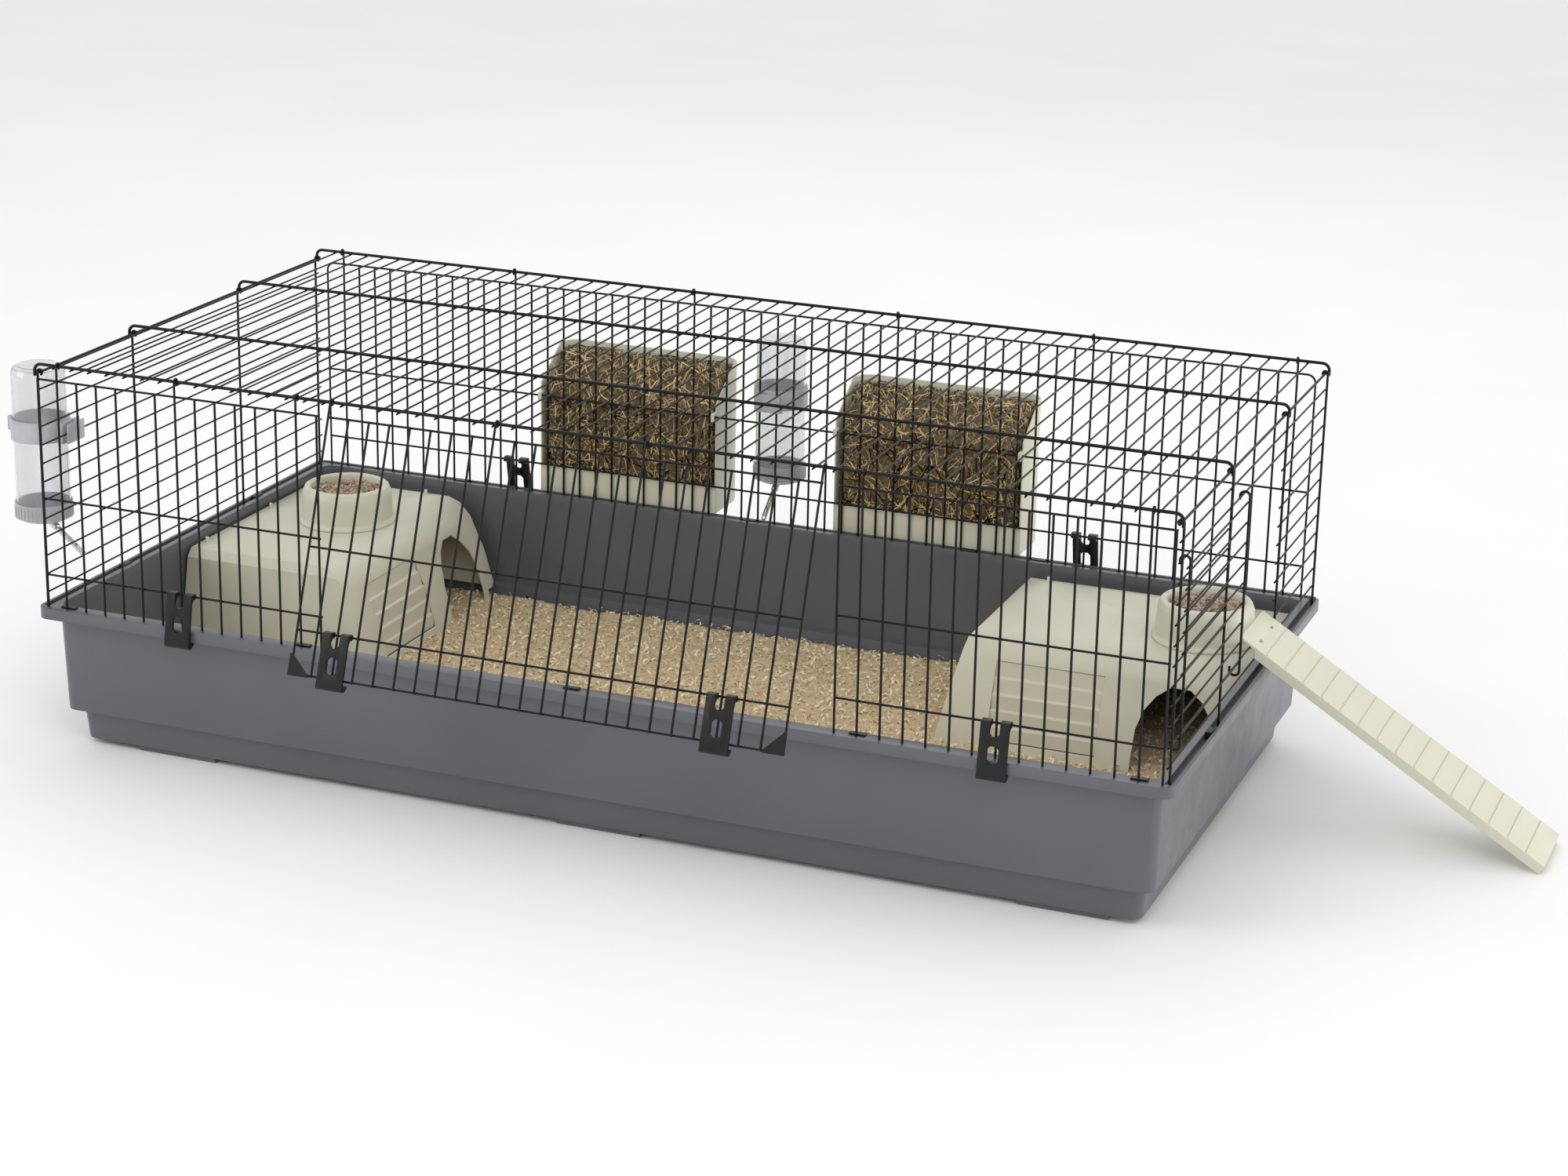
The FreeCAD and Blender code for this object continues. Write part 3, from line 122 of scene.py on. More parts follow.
def angle(name, description, degrees):
    """An angle that a user can change."""
    return bpy.props.FloatProperty(
        name=name, description=description, default=math.radians(degrees), subtype="ANGLE")


class CageStage(bpy.types.PropertyGroup):
    """Camera and light of the studio."""

    eye: bpy.props.FloatVectorProperty(
        name="Eye", description="Camera position", default=(1.731, -4.077, 1.721),
        subtype="XYZ", unit="LENGTH")
    pan: angle("Pan", "Turn of the camera about Z", 21.308)
    tilt: angle("Tilt", "How far the camera looks down", 17.253)
    roll: angle("Roll", "Turn of the camera about its own axis", 1.169)
    lens: bpy.props.FloatProperty(
        name="Lens", description="Focal length for a 36 mm sensor", default=76.49, unit="CAMERA")
    rise: bpy.props.FloatProperty(
        name="Shift", description="Vertical lens shift", default=-0.05)
    sky: bpy.props.FloatProperty(
        name="Sky", description="Brightness of the white surroundings", default=0.86, min=0.0)


def settings():
    """The scene's colours and sizes of the cage."""
    scene = bpy.context.scene
    return scene.cage_colours, scene.cage_sizes


# ---- node materials ---------------------------------------------------------------------------
def node(tree, kind, values=None, **options):
    """Adds a node; values are numbers or sockets for its inputs, by name or number."""
    made = tree.nodes.new(kind)
    for key, option in options.items():
        setattr(made, key, option)
    for key, value in (values or {}).items():
        if isinstance(value, bpy.types.NodeSocket):
            tree.links.new(value, made.inputs[key])
        else:
            made.inputs[key].default_value = value
    return made


def new_material(name):
    """A material with an empty Principled surface; returns it, its tree and the shader."""
    material = bpy.data.materials.new(name)
    material.use_nodes = True
    tree = material.node_tree
    return material, tree, tree.nodes["Principled BSDF"]


def object_noise(tree, scale, detail=3.0, stretch=(1, 1, 1), roughness=0.55):
    """Noise fixed to the piece."""
    place = node(tree, "ShaderNodeTexCoord")
    mapping = node(tree, "ShaderNodeMapping", {"Vector": place.outputs["Object"], "Scale": stretch})
    return node(tree, "ShaderNodeTexNoise", {
        "Vector": mapping.outputs["Vector"], "Scale": scale, "Detail": detail, "Roughness": roughness})


def two_tone(tree, factor, low, high, start=0.3, stop=0.7):
    """A colour ramp from low to high."""
    ramp = node(tree, "ShaderNodeValToRGB", {"Fac": factor})
    ramp.color_ramp.elements[0].position = start
    ramp.color_ramp.elements[0].color = (*low, 1)
    ramp.color_ramp.elements[1].position = stop
    ramp.color_ramp.elements[1].color = (*high, 1)
    return ramp.outputs["Color"]


def shade(value, factor):
    """A colour made lighter or darker."""
    return tuple(min(1.0, part * factor) for part in value)


def bump(tree, shader, height, strength, distance):
    """Bumps on a shader from a height."""
    made = node(tree, "ShaderNodeBump", {"Height": height, "Strength": strength, "Distance": distance})
    tree.links.new(made.outputs["Normal"], shader.inputs["Normal"])


def moulded_plastic(name, tone, grain, roughness, depth=0.00012, drift=0.08, specular=0.45):
    """Satin moulding: a fine leathered grain and a slow drift of tone and gloss."""
    material, tree, shader = new_material(name)
    slow = object_noise(tree, 4.5, 2.0)
    tree.links.new(two_tone(tree, slow.outputs["Fac"], shade(tone, 1 - drift), shade(tone, 1 + drift)),
                   shader.inputs["Base Color"])
    gloss = object_noise(tree, 26.0, 3.0)
    span = node(tree, "ShaderNodeMapRange", {
        "Value": gloss.outputs["Fac"], "From Min": 0.3, "From Max": 0.7,
        "To Min": roughness - 0.05, "To Max": roughness + 0.07})
    tree.links.new(span.outputs["Result"], shader.inputs["Roughness"])
    fine = object_noise(tree, grain, 2.0)
    bump(tree, shader, fine.outputs["Fac"], 0.35, depth)
    shader.inputs["Specular IOR Level"].default_value = specular
    return material


def coated_wire(tone):
    """Black dip coating, a little wavy along the wire."""
    material, tree, shader = new_material("coated_wire")
    slow = object_noise(tree, 60.0, 2.0)
    tree.links.new(two_tone(tree, slow.outputs["Fac"], shade(tone, 0.8), shade(tone, 1.6)),
                   shader.inputs["Base Color"])
    fine = object_noise(tree, 900.0, 2.0)
    bump(tree, shader, fine.outputs["Fac"], 0.3, 0.00008)
    shader.inputs["Roughness"].default_value = 0.42
    shader.inputs["Specular IOR Level"].default_value = 0.22
    return material


def clear_bottle(tone):
    """Blown bottle plastic: clear, with faint vertical streaks."""
    material, tree, shader = new_material("clear_bottle")
    streaks = object_noise(tree, 40.0, 1.0, (1, 1, 0.05))
    tree.links.new(two_tone(tree, streaks.outputs["Fac"], shade(tone, 0.9), tone),
                   shader.inputs["Base Color"])
    bump(tree, shader, streaks.outputs["Fac"], 0.08, 0.00005)
    shader.inputs["Roughness"].default_value = 0.06
    shader.inputs["IOR"].default_value = 1.46
    shader.inputs["Transmission Weight"].default_value = 0.93
    return material


def smoked_fitting(tone):
    """Grey half-clear plastic of the caps and holders."""
    material, tree, shader = new_material("smoked_fitting")
    slow = object_noise(tree, 30.0, 2.0)
    tree.links.new(two_tone(tree, slow.outputs["Fac"], shade(tone, 0.9), shade(tone, 1.1)),
                   shader.inputs["Base Color"])
    bump(tree, shader, object_noise(tree, 700.0).outputs["Fac"], 0.25, 0.0001)
    shader.inputs["Roughness"].default_value = 0.3
    shader.inputs["Transmission Weight"].default_value = 0.5
    shader.inputs["IOR"].default_value = 1.46
    return material


def drawn_steel(tone):
    """Bright tube with fine draw lines along it."""
    material, tree, shader = new_material("drawn_steel")
    lines = object_noise(tree, 240.0, 2.0, (1, 1, 0.08))
    tree.links.new(two_tone(tree, lines.outputs["Fac"], shade(tone, 0.88), shade(tone, 1.08)),
                   shader.inputs["Base Color"])
    bump(tree, shader, lines.outputs["Fac"], 0.25, 0.00006)
    shader.inputs["Metallic"].default_value = 1.0
    shader.inputs["Roughness"].default_value = 0.24
    return material


def loose_fill(name, low, middle, high, grain, roughness=0.78, sheen=0.15):
    """Loose dry stuff whose every bit has its own tone, kept on the attribute tint."""
    material, tree, shader = new_material(name)
    tint = node(tree, "ShaderNodeAttribute", attribute_name="tint")
    fine = object_noise(tree, grain, 3.0)
    mixed = node(tree, "ShaderNodeMath", {0: tint.outputs["Fac"], 1: fine.outputs["Fac"]},
                 operation="ADD")
    half = node(tree, "ShaderNodeMath", {0: mixed.outputs["Value"], 1: 0.5}, operation="MULTIPLY")
    ramp = node(tree, "ShaderNodeValToRGB", {"Fac": half.outputs["Value"]})
    ramp.color_ramp.elements[0].position = 0.22
    ramp.color_ramp.elements[0].color = (*low, 1)
    ramp.color_ramp.elements[1].position = 0.72
    ramp.color_ramp.elements[1].color = (*high, 1)
    between = ramp.color_ramp.elements.new(0.46)
    between.color = (*middle, 1)
    tree.links.new(ramp.outputs["Color"], shader.inputs["Base Color"])
    bump(tree, shader, fine.outputs["Fac"], 0.5, 0.0006)
    shader.inputs["Roughness"].default_value = roughness
    shader.inputs["Sheen Weight"].default_value = sheen
    return material


def make_finishes(tones):
    """One material for each of the record's material slots."""
    blend = tuple((low + high) / 2 for low, high in zip(tones.shavings_dark, tones.shavings_light))
    feed = tuple((low + high) / 2 for low, high in zip(tones.pellets_dark, tones.pellets_light))
    return {
        "black_wire": coated_wire(tones.wire),
        "tray_plastic": moulded_plastic("tray_plastic", tones.tray, 950.0, 0.33, specular=0.62),
        "black_plastic": moulded_plastic("black_plastic", tones.black_plastic, 800.0, 0.36,
                                         drift=0.15, specular=0.3),
        "cream_plastic": moulded_plastic("cream_plastic", tones.cream, 620.0, 0.4, 0.0002, 0.025),
        "clear_plastic": clear_bottle(tones.bottle),
        "grey_plastic": smoked_fitting(tones.grey_plastic),
        "steel": drawn_steel(tones.steel),
        "hay": loose_fill("dry_hay", tones.hay_dark_and_shade, tones.hay_green, tones.hay_light, 160.0),
        "bedding": loose_fill("wood_shavings", tones.shavings_dark, blend, tones.shavings_light, 130.0),
        "pellets": loose_fill("feed_pellets", tones.pellets_dark, feed, tones.pellets_light, 400.0,
                              0.7, 0.0),
    }


FINISHES = {}
SLOT_OF = {part["node"]: part["material_slot"] for part in frame["record"]["subparts"]}


def finish(name):
    """The finish for one of the record's material slots."""
    if not FINISHES:
        FINISHES.update(make_finishes(settings()[0]))
    return FINISHES[name]


def coat(thing, slot_name):
    """Gives a piece one finish."""
    thing.data.materials.clear()
    thing.data.materials.append(finish(slot_name))
    return thing


# ---- mesh helpers -----------------------------------------------------------------------------
def new_piece(name, mesh):
    """An object in the scene with the given mesh."""
    thing = bpy.data.objects.new(name, mesh)
    bpy.context.scene.collection.objects.link(thing)
    return thing


def piece_from(form, name):
    """A piece with a bmesh's shape; the bmesh is freed."""
    mesh = bpy.data.meshes.new(name)
    form.to_mesh(mesh)
    form.free()
    return new_piece(name, mesh)


def merged_copy(source, name):
    """A copy of a CAD node with its loose triangles joined and its flats made whole."""
    form = bmesh.new()
    form.from_mesh(frame["nodes"][source].data)
    bmesh.ops.remove_doubles(form, verts=form.verts, dist=2e-6)
    bmesh.ops.dissolve_limit(form, angle_limit=math.radians(0.6), verts=form.verts, edges=form.edges)
    return piece_from(form, name)


def bake(thing):
    """Applies every modifier of a piece and drops them."""
    bpy.context.view_layer.update()
    ready = thing.evaluated_get(bpy.context.evaluated_depsgraph_get())
    mesh = bpy.data.meshes.new_from_object(ready)
    thing.modifiers.clear()
    thing.data = mesh
    return thing


def soften(thing, radius, segments=2, from_angle=28.0):
    """Rounds the sharp edges and shades the rest smooth."""
    edges = thing.modifiers.new("Rounded edges", "BEVEL")
    edges.width = radius
    edges.segments = segments
    edges.limit_method = "ANGLE"
    edges.angle_limit = math.radians(from_angle)
    edges.harden_normals = True
    thing.data.shade_smooth()
    return bake(thing)


def mould(source, body, radius, segments=2):
    """Puts a CAD node's rounded copy in its place."""
    piece = merged_copy(source, source + "_moulded")
    soften(piece, radius, segments)
    return hand_over(piece, source, body)


def hand_over(piece, source, body):
    """Lets a piece stand for a CAD node, in that node's finish."""
    slot_name = SLOT_OF[source]
    coat(piece, slot_name)
    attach(piece, body)
    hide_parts(source)
    return piece


def carry(piece, body):
    """Lets an added piece ride on a body, in a finish of its own."""
    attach(piece, body)


def prism(name, outline, low, high, turn=Matrix.Identity(4)):
    """A closed prism from an outline in Y and Z, between two X values."""
    form = bmesh.new()
    near = [form.verts.new(turn @ Vector((low, y, z))) for y, z in outline]
    far = [form.verts.new(turn @ Vector((high, y, z))) for y, z in outline]
    form.faces.new(near)
    form.faces.new(list(reversed(far)))
    count = len(outline)
    for k in range(count):
        after = (k + 1) % count
        form.faces.new([near[k], far[k], far[after], near[after]])
    bmesh.ops.recalc_face_normals(form, faces=form.faces)
    return piece_from(form, name)


# ---- Geometry Nodes helpers -------------------------------------------------------------------
def new_tree(name, inputs):
    """A geometry tree with named inputs (name, socket kind, value); returns tree, input node, ids."""
    tree = bpy.data.node_groups.new(name, "GeometryNodeTree")
    tree.interface.new_socket("Geometry", in_out="INPUT", socket_type="NodeSocketGeometry")
    tree.interface.new_socket("Geometry", in_out="OUTPUT", socket_type="NodeSocketGeometry")
    ids = {}
    for label, kind, value in inputs:
        socket = tree.interface.new_socket(label, in_out="INPUT", socket_type="NodeSocket" + kind)
        if value is not None:
            socket.default_value = value
        ids[label] = socket.identifier
    return tree, tree.nodes.new("NodeGroupInput"), ids


def end_tree(tree, geometry, material):
    """Realize Instances, Set Material, output."""
    real = node(tree, "GeometryNodeRealizeInstances", {"Geometry": geometry})
    painted = node(tree, "GeometryNodeSetMaterial", {"Geometry": real.outputs[0], "Material": material})
    node(tree, "NodeGroupOutput", {0: painted.outputs[0]})


def grow(thing, tree, ids, values):
    """Runs a tree on a piece with the given inputs and keeps the plain mesh."""
    modifier = thing.modifiers.new(tree.name, "NODES")
    modifier.node_group = tree
    for label, value in values.items():
        modifier[ids[label]] = value
    return bake(thing)


def times(tree, value, factor):
    """A value multiplied by a number."""
    made = node(tree, "ShaderNodeMath", {0: value, 1: factor}, operation="MULTIPLY")
    return made.outputs[0]


def random_number(tree, low, high, seed):
    """A number for each point, between two ends."""
    made = node(tree, "FunctionNodeRandomValue", {2: low, 3: high, "Seed": seed}, data_type="FLOAT")
    return made.outputs[1]


def random_turn(tree, seed):
    """Any turn, for each point."""
    made = node(tree, "FunctionNodeRandomValue", {0: (0, 0, 0), 1: (math.tau, math.tau, math.tau),
                                                  "Seed": seed}, data_type="FLOAT_VECTOR")
    return made.outputs[0]


def bent_stalk(tree, long, across, bend, radius, sides=3, steps=4):
    """One stalk: a thin tube along a bent curve, centred on the origin."""
    start = node(tree, "ShaderNodeCombineXYZ", {"X": times(tree, long, -0.5)})
    middle = node(tree, "ShaderNodeCombineXYZ",
                  {"Y": times(tree, long, across), "Z": times(tree, long, bend)})
    stop = node(tree, "ShaderNodeCombineXYZ", {"X": times(tree, long, 0.5)})
    line = node(tree, "GeometryNodeCurveQuadraticBezier",
                {"Resolution": steps, "Start": start.outputs[0], "Middle": middle.outputs[0],
                 "End": stop.outputs[0]})
    ring = node(tree, "GeometryNodeCurvePrimitiveCircle", {"Resolution": sides, "Radius": radius})
    tube = node(tree, "GeometryNodeCurveToMesh",
                {"Curve": line.outputs[0], "Profile Curve": ring.outputs[0], "Fill Caps": True})
    return tube.outputs[0]


def as_set(tree, shapes):
    """Several shapes as a set of instances to pick from."""
    made = node(tree, "GeometryNodeGeometryToInstance")
    for shape in reversed(shapes):
        tree.links.new(shape, made.inputs[0])
    return made.outputs[0]


def scatter(tree, points, shapes, turn, size, seed):
    """Random shapes on the points, each with its own tint."""
    chosen = node(tree, "FunctionNodeRandomValue", {4: 0, 5: len(shapes) - 1, "Seed": seed},
                  data_type="INT")
    placed = node(tree, "GeometryNodeInstanceOnPoints",
                  {"Points": points, "Instance": as_set(tree, shapes), "Pick Instance": True,
                   "Instance Index": chosen.outputs[2], "Rotation": turn, "Scale": size})
    tint = random_number(tree, 0.0, 1.0, seed)
    tinted = node(tree, "GeometryNodeStoreNamedAttribute",
                  {"Geometry": placed.outputs[0], "Name": "tint", "Value": tint},
                  data_type="FLOAT", domain="INSTANCE")
    return tinted.outputs[0]


def facing_up(tree, least):
    """True on faces that look up."""
    normal = node(tree, "GeometryNodeInputNormal")
    parts = node(tree, "ShaderNodeSeparateXYZ", {0: normal.outputs[0]})
    return node(tree, "FunctionNodeCompare", {0: parts.outputs["Z"], 1: least},
                data_type="FLOAT", operation="GREATER_THAN").outputs[0]


def kept_inside(tree, geometry, low, high):
    """Holds every point of a geometry between two corners."""
    place = node(tree, "GeometryNodeInputPosition")
    above = node(tree, "ShaderNodeVectorMath", {0: place.outputs[0], 1: low}, operation="MAXIMUM")
    inside = node(tree, "ShaderNodeVectorMath", {0: above.outputs[0], 1: high}, operation="MINIMUM")
    moved = node(tree, "GeometryNodeSetPosition", {"Geometry": geometry, "Position": inside.outputs[0]})
    return moved.outputs[0]


# ---- wire -------------------------------------------------------------------------------------
class CAGE_OT_coat_wires(bpy.types.Operator):
    """Coat every wire of the hood, the doors and their fittings"""

    bl_idname = "cage.coat_wires"
    bl_label = "Coat wires"

    def execute(self, context):
        for name, thing in frame["nodes"].items():
            coat(thing, SLOT_OF[name])
        return {"FINISHED"}


CROSS_WIRES = 57
BACK_WIRES = 55
BAR_RADIUS = 0.0022
UPRIGHT_WIDTH = 0.0032
RAIL_WIDTH = 0.003


def weld_tree():
    """Beads on a grid of crossings."""
    tree, given, ids = new_tree("Welds", [
        ("Count X", "Int", 2), ("Count Y", "Int", 2),
        ("Size X", "Float", 1.0), ("Size Y", "Float", 1.0),
        ("Centre", "Vector", (0, 0, 0)), ("Tilt", "Vector", (0, 0, 0)),
        ("Radius", "Float", 0.002), ("Material", "Material", None)])
    grid = node(tree, "GeometryNodeMeshGrid",
                {"Size X": given.outputs["Size X"], "Size Y": given.outputs["Size Y"],
                 "Vertices X": given.outputs["Count X"], "Vertices Y": given.outputs["Count Y"]})
    turned = node(tree, "GeometryNodeTransform",
                  {"Geometry": grid.outputs[0], "Rotation": given.outputs["Tilt"],
                   "Translation": given.outputs["Centre"]})
    bead = node(tree, "GeometryNodeMeshIcoSphere",
                {"Radius": given.outputs["Radius"], "Subdivisions": 1})
    placed = node(tree, "GeometryNodeInstanceOnPoints",
                  {"Points": turned.outputs[0], "Instance": bead.outputs[0]})
    end_tree(tree, placed.outputs[0], given.outputs["Material"])
    return tree, ids


class CAGE_OT_weld_wires(bpy.types.Operator):
    """Add the weld beads where the roof's and the back's wires cross"""

    bl_idname = "cage.weld_wires"
    bl_label = "Weld wires"

    def execute(self, context):
        weld = settings()[1].weld
        cross_low, cross_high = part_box("roof_cross_wires")
        thick = cross_high.z - cross_low.z
        across = cross_high.x - cross_low.x - thick
        grids = {}
        for label in ("outer", "inner"):
            low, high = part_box("roof_%s_bars" % label)
            grids["roof_%s_welds" % label] = {
                "Count X": CROSS_WIRES, "Size X": across, "Size Y": high.y - low.y - 2 * BAR_RADIUS,
                "Centre": ((low.x + high.x) / 2, 0.0, cross_high.z), "Radius": weld}
        rail_low, rail_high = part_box("back_rails")
        up_low, up_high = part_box("back_uprights")
        grids["back_rail_welds"] = {
            "Count X": BACK_WIRES, "Size X": up_high.x - up_low.x - UPRIGHT_WIDTH,
            "Size Y": rail_high.z - rail_low.z - RAIL_WIDTH, "Tilt": (math.pi / 2, 0.0, 0.0),
            "Centre": (0.0, up_low.y, (rail_low.z + rail_high.z) / 2), "Radius": weld * 0.9}
        tree, ids = weld_tree()
        for name, values in grids.items():
            beads = new_piece(name, bpy.data.meshes.new(name))
            grow(beads, tree, ids, {"Count Y": 2, "Material": finish("black_wire"), **values})
            beads.data.shade_smooth()
            carry(beads, CAGE)
        return {"FINISHED"}


# ---- mouldings --------------------------------------------------------------------------------
class CAGE_OT_mould_tray(bpy.types.Operator):
    """Round the edges of the tray"""

    bl_idname = "cage.mould_tray"
    bl_label = "Mould tray"

    def execute(self, context):
        mould("tray", CAGE, settings()[1].edge_round, 3)
        return {"FINISHED"}


# The hideout's entrance side in its own frame: (depth from the back, height) down its slope.
SLOPE = [(-0.262, 0.167), (-0.286, 0.115), (-0.303, 0.060), (-0.312, 0.011)]
# The climbing steps: their heights, their reach along the slope, and how deep they are let in.
STEP_TOP = 0.158
STEP_BOTTOM = 0.052
STEP_COUNT = 5
STEPS_START = -0.352
STEPS_END = -0.196
STEP_LAP = 0.0006
RECESS = 0.0052
NOSE_DEPTH = 0.0008
NOSE_DROP = 0.0015
STEP_BACK = 0.0105
CUT_BACK = 0.0095
CUT_FRONT = 0.03
BENDS = (STEP_BOTTOM, 0.060, 0.115, STEP_TOP)


def slope_at(height):
    """Depth of the entrance side at a height."""
    for (y_high, z_high), (y_low, z_low) in zip(SLOPE, SLOPE[1:]):
        if height >= z_low:
            return y_low + (y_high - y_low) * (height - z_low) / (z_high - z_low)
    return SLOPE[-1][0]


def step_outline():
    """Treads and risers let into the slope, closed along a line inside the wall."""
    points = []
    tall = (STEP_TOP - STEP_BOTTOM) / STEP_COUNT
    for number in range(STEP_COUNT):
        high = STEP_TOP - number * tall
        low = high - tall
        points.append((slope_at(high) + NOSE_DEPTH, high - NOSE_DROP))
        points.append((slope_at(low) + RECESS, low))
    inner = [(slope_at(height) + STEP_BACK, height) for height in BENDS]
    return [(slope_at(STEP_TOP) + RECESS, STEP_TOP)] + points + inner


def cut_outline():
    """The room that the steps need in the wall."""
    outside = [(slope_at(height) - CUT_FRONT, height) for height in (STEP_TOP, STEP_BOTTOM)]
    inside = [(slope_at(height) + CUT_BACK, height) for height in BENDS]
    return outside + inside


def mould_hideout(side, corner, turn):
    """A hideout with its climbing steps let into the entrance side."""
    sizes = settings()[1]
    carrier = Matrix.Translation(corner) @ Euler((0, 0, turn)).to_matrix().to_4x4()
    source = side + "_hideout"
    shell = merged_copy(source, source + "_shell")
    cutter = prism("step_cutter", cut_outline(), STEPS_START, STEPS_END, carrier)
    cut = shell.modifiers.new("Step recess", "BOOLEAN")
    cut.object = cutter
    cut.operation = "DIFFERENCE"
    bake(shell)
    bpy.data.objects.remove(cutter)
    soften(shell, sizes.edge_round, 2)
    hand_over(shell, source, CAGE)
    steps = prism(source + "_steps", step_outline(), STEPS_START - STEP_LAP, STEPS_END + STEP_LAP, carrier)
    soften(steps, sizes.edge_round, 2, 15.0)
    coat(steps, "cream_plastic")
    carry(steps, CAGE)


class CAGE_OT_mould_hideouts(bpy.types.Operator):
    """Round both hideouts and let their climbing steps in"""

    bl_idname = "cage.mould_hideouts"
    bl_label = "Mould hideouts"

    def execute(self, context):
        low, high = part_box("right_hideout")
        mould_hideout("right", (high.x, high.y, 0.0), 0.0)
        low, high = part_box("left_hideout")
        mould_hideout("left", (low.x, high.y, 0.0), math.pi / 2)
        return {"FINISHED"}


# The bowl's collar: its section as (radius, height), the notch in it and how low that is.
COLLAR = [(0.0722, 0.0002), (0.0722, 0.0042), (0.0700, 0.0062), (0.0660, 0.0066), (0.0655, 0.0002)]
COLLAR_FACETS = 96
COLLAR_LIFT = 0.0002
NOTCH_AT = -1.1
NOTCH_HALF = 0.22
NOTCH_LEVEL = 0.7


def bowl_collar(name, centre, level):
    """The raised collar with its notch, round the foot of a bowl."""
    form = bmesh.new()
    loops = []
    for k in range(COLLAR_FACETS):
        turn = math.tau * k / COLLAR_FACETS
        in_notch = abs(math.remainder(turn - NOTCH_AT, math.tau)) < NOTCH_HALF
        squeeze = NOTCH_LEVEL if in_notch else 1.0
        loops.append([form.verts.new((
            centre[0] + math.cos(turn) * radius, centre[1] + math.sin(turn) * radius,
            level + height * squeeze)) for radius, height in COLLAR])
    count = len(COLLAR)
    for k in range(COLLAR_FACETS):
        here, there = loops[k], loops[(k + 1) % COLLAR_FACETS]
        for j in range(count):
            form.faces.new([here[j], there[j], there[(j + 1) % count], here[(j + 1) % count]])
    bmesh.ops.recalc_face_normals(form, faces=form.faces)
    collar = piece_from(form, name)
    collar.data.shade_smooth()
    return coat(collar, "cream_plastic")


class CAGE_OT_mould_bowls(bpy.types.Operator):
    """Round the bowls and add their foot collars"""

    bl_idname = "cage.mould_bowls"
    bl_label = "Mould bowls"

    def execute(self, context):
        for side in ("left", "right"):
            body = side + "_food_bowl"
            mould(side + "_bowl", body, settings()[1].edge_round, 3)
            low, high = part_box(side + "_bowl")
            centre = ((low.x + high.x) / 2, (low.y + high.y) / 2)
            collar = bowl_collar(side + "_bowl_collar", centre, low.z + COLLAR_LIFT)
            carry(collar, body)
        return {"FINISHED"}


class CAGE_OT_mould_ramp(bpy.types.Operator):
    """Round the ramp's edges"""

    bl_idname = "cage.mould_ramp"
    bl_label = "Mould ramp"

    def execute(self, context):
        mould("ramp", "ladder", settings()[1].edge_round * 0.5, 2)
        return {"FINISHED"}


class CAGE_OT_mould_racks(bpy.types.Operator):
    """Round the hay racks' edges"""

    bl_idname = "cage.mould_racks"
    bl_label = "Mould hay racks"

    def execute(self, context):
        for side in ("left", "right"):
            mould(side + "_hay_rack", side + "_rack", settings()[1].edge_round, 2)
        return {"FINISHED"}


class CAGE_OT_mould_clips(bpy.types.Operator):
    """Round the clips' edges"""

    bl_idname = "cage.mould_clips"
    bl_label = "Mould clips"

    def execute(self, context):
        for panel in ("front", "back", "door"):
            for side in ("left", "right"):
                place = "%s_%s" % (panel, side)
                mould(place + "_clip", place + "_latch", settings()[1].edge_round * 0.6, 2)
        return {"FINISHED"}


# ---- bottles ----------------------------------------------------------------------------------
CAP_RIBS = 40
CAP_RIB_RADIUS = 0.0007


def cap_ribs_tree():
    """Grip ribs round a bottle's cap."""
    tree, given, ids = new_tree("Cap ribs", [
        ("Count", "Int", 36), ("Radius", "Float", 0.04), ("Height", "Float", 0.02),
        ("Rib", "Float", 0.0008), ("Centre", "Vector", (0, 0, 0)), ("Material", "Material", None)])
    ring = node(tree, "GeometryNodeMeshCircle",
                {"Vertices": given.outputs["Count"], "Radius": given.outputs["Radius"]})
    moved = node(tree, "GeometryNodeTransform",
                 {"Geometry": ring.outputs[0], "Translation": given.outputs["Centre"]})
    rib = node(tree, "GeometryNodeMeshCylinder",
               {"Vertices": 8, "Radius": given.outputs["Rib"], "Depth": given.outputs["Height"]})
    placed = node(tree, "GeometryNodeInstanceOnPoints",
                  {"Points": moved.outputs[0], "Instance": rib.outputs[0]})
    end_tree(tree, placed.outputs[0], given.outputs["Material"])
    return tree, ids


class CAGE_OT_make_bottles(bpy.types.Operator):
    """Add the grip ribs of the caps and round the holders"""

    bl_idname = "cage.make_bottles"
    bl_label = "Finish bottles"

    def execute(self, context):
        tree, ids = cap_ribs_tree()
        for side in ("left", "back"):
            low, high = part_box(side + "_bottle_cap")
            ribs = new_piece(side + "_cap_ribs", bpy.data.meshes.new(side + "_cap_ribs"))
            grow(ribs, tree, ids, {
                "Count": CAP_RIBS, "Radius": (high.x - low.x) / 2, "Height": (high.z - low.z) * 0.7,
                "Rib": CAP_RIB_RADIUS, "Centre": (low + high) / 2, "Material": finish("grey_plastic")})
            carry(ribs, CAGE)
            mould(side + "_bottle_holder", CAGE, settings()[1].edge_round * 0.5, 2)
        return {"FINISHED"}


# ---- loose fill -------------------------------------------------------------------------------
HEAP_RISE = 0.006
HAY_CLEARANCE = 0.0006
HAY_FRONT = 0.0028
HAY_RISE = 0.004
BED_INSET = 0.004
BED_TOP = 0.003
SHAVINGS_DEPTH = 0.02
SHAVINGS_LOW = 0.01
SHAVINGS_RISE = 0.018


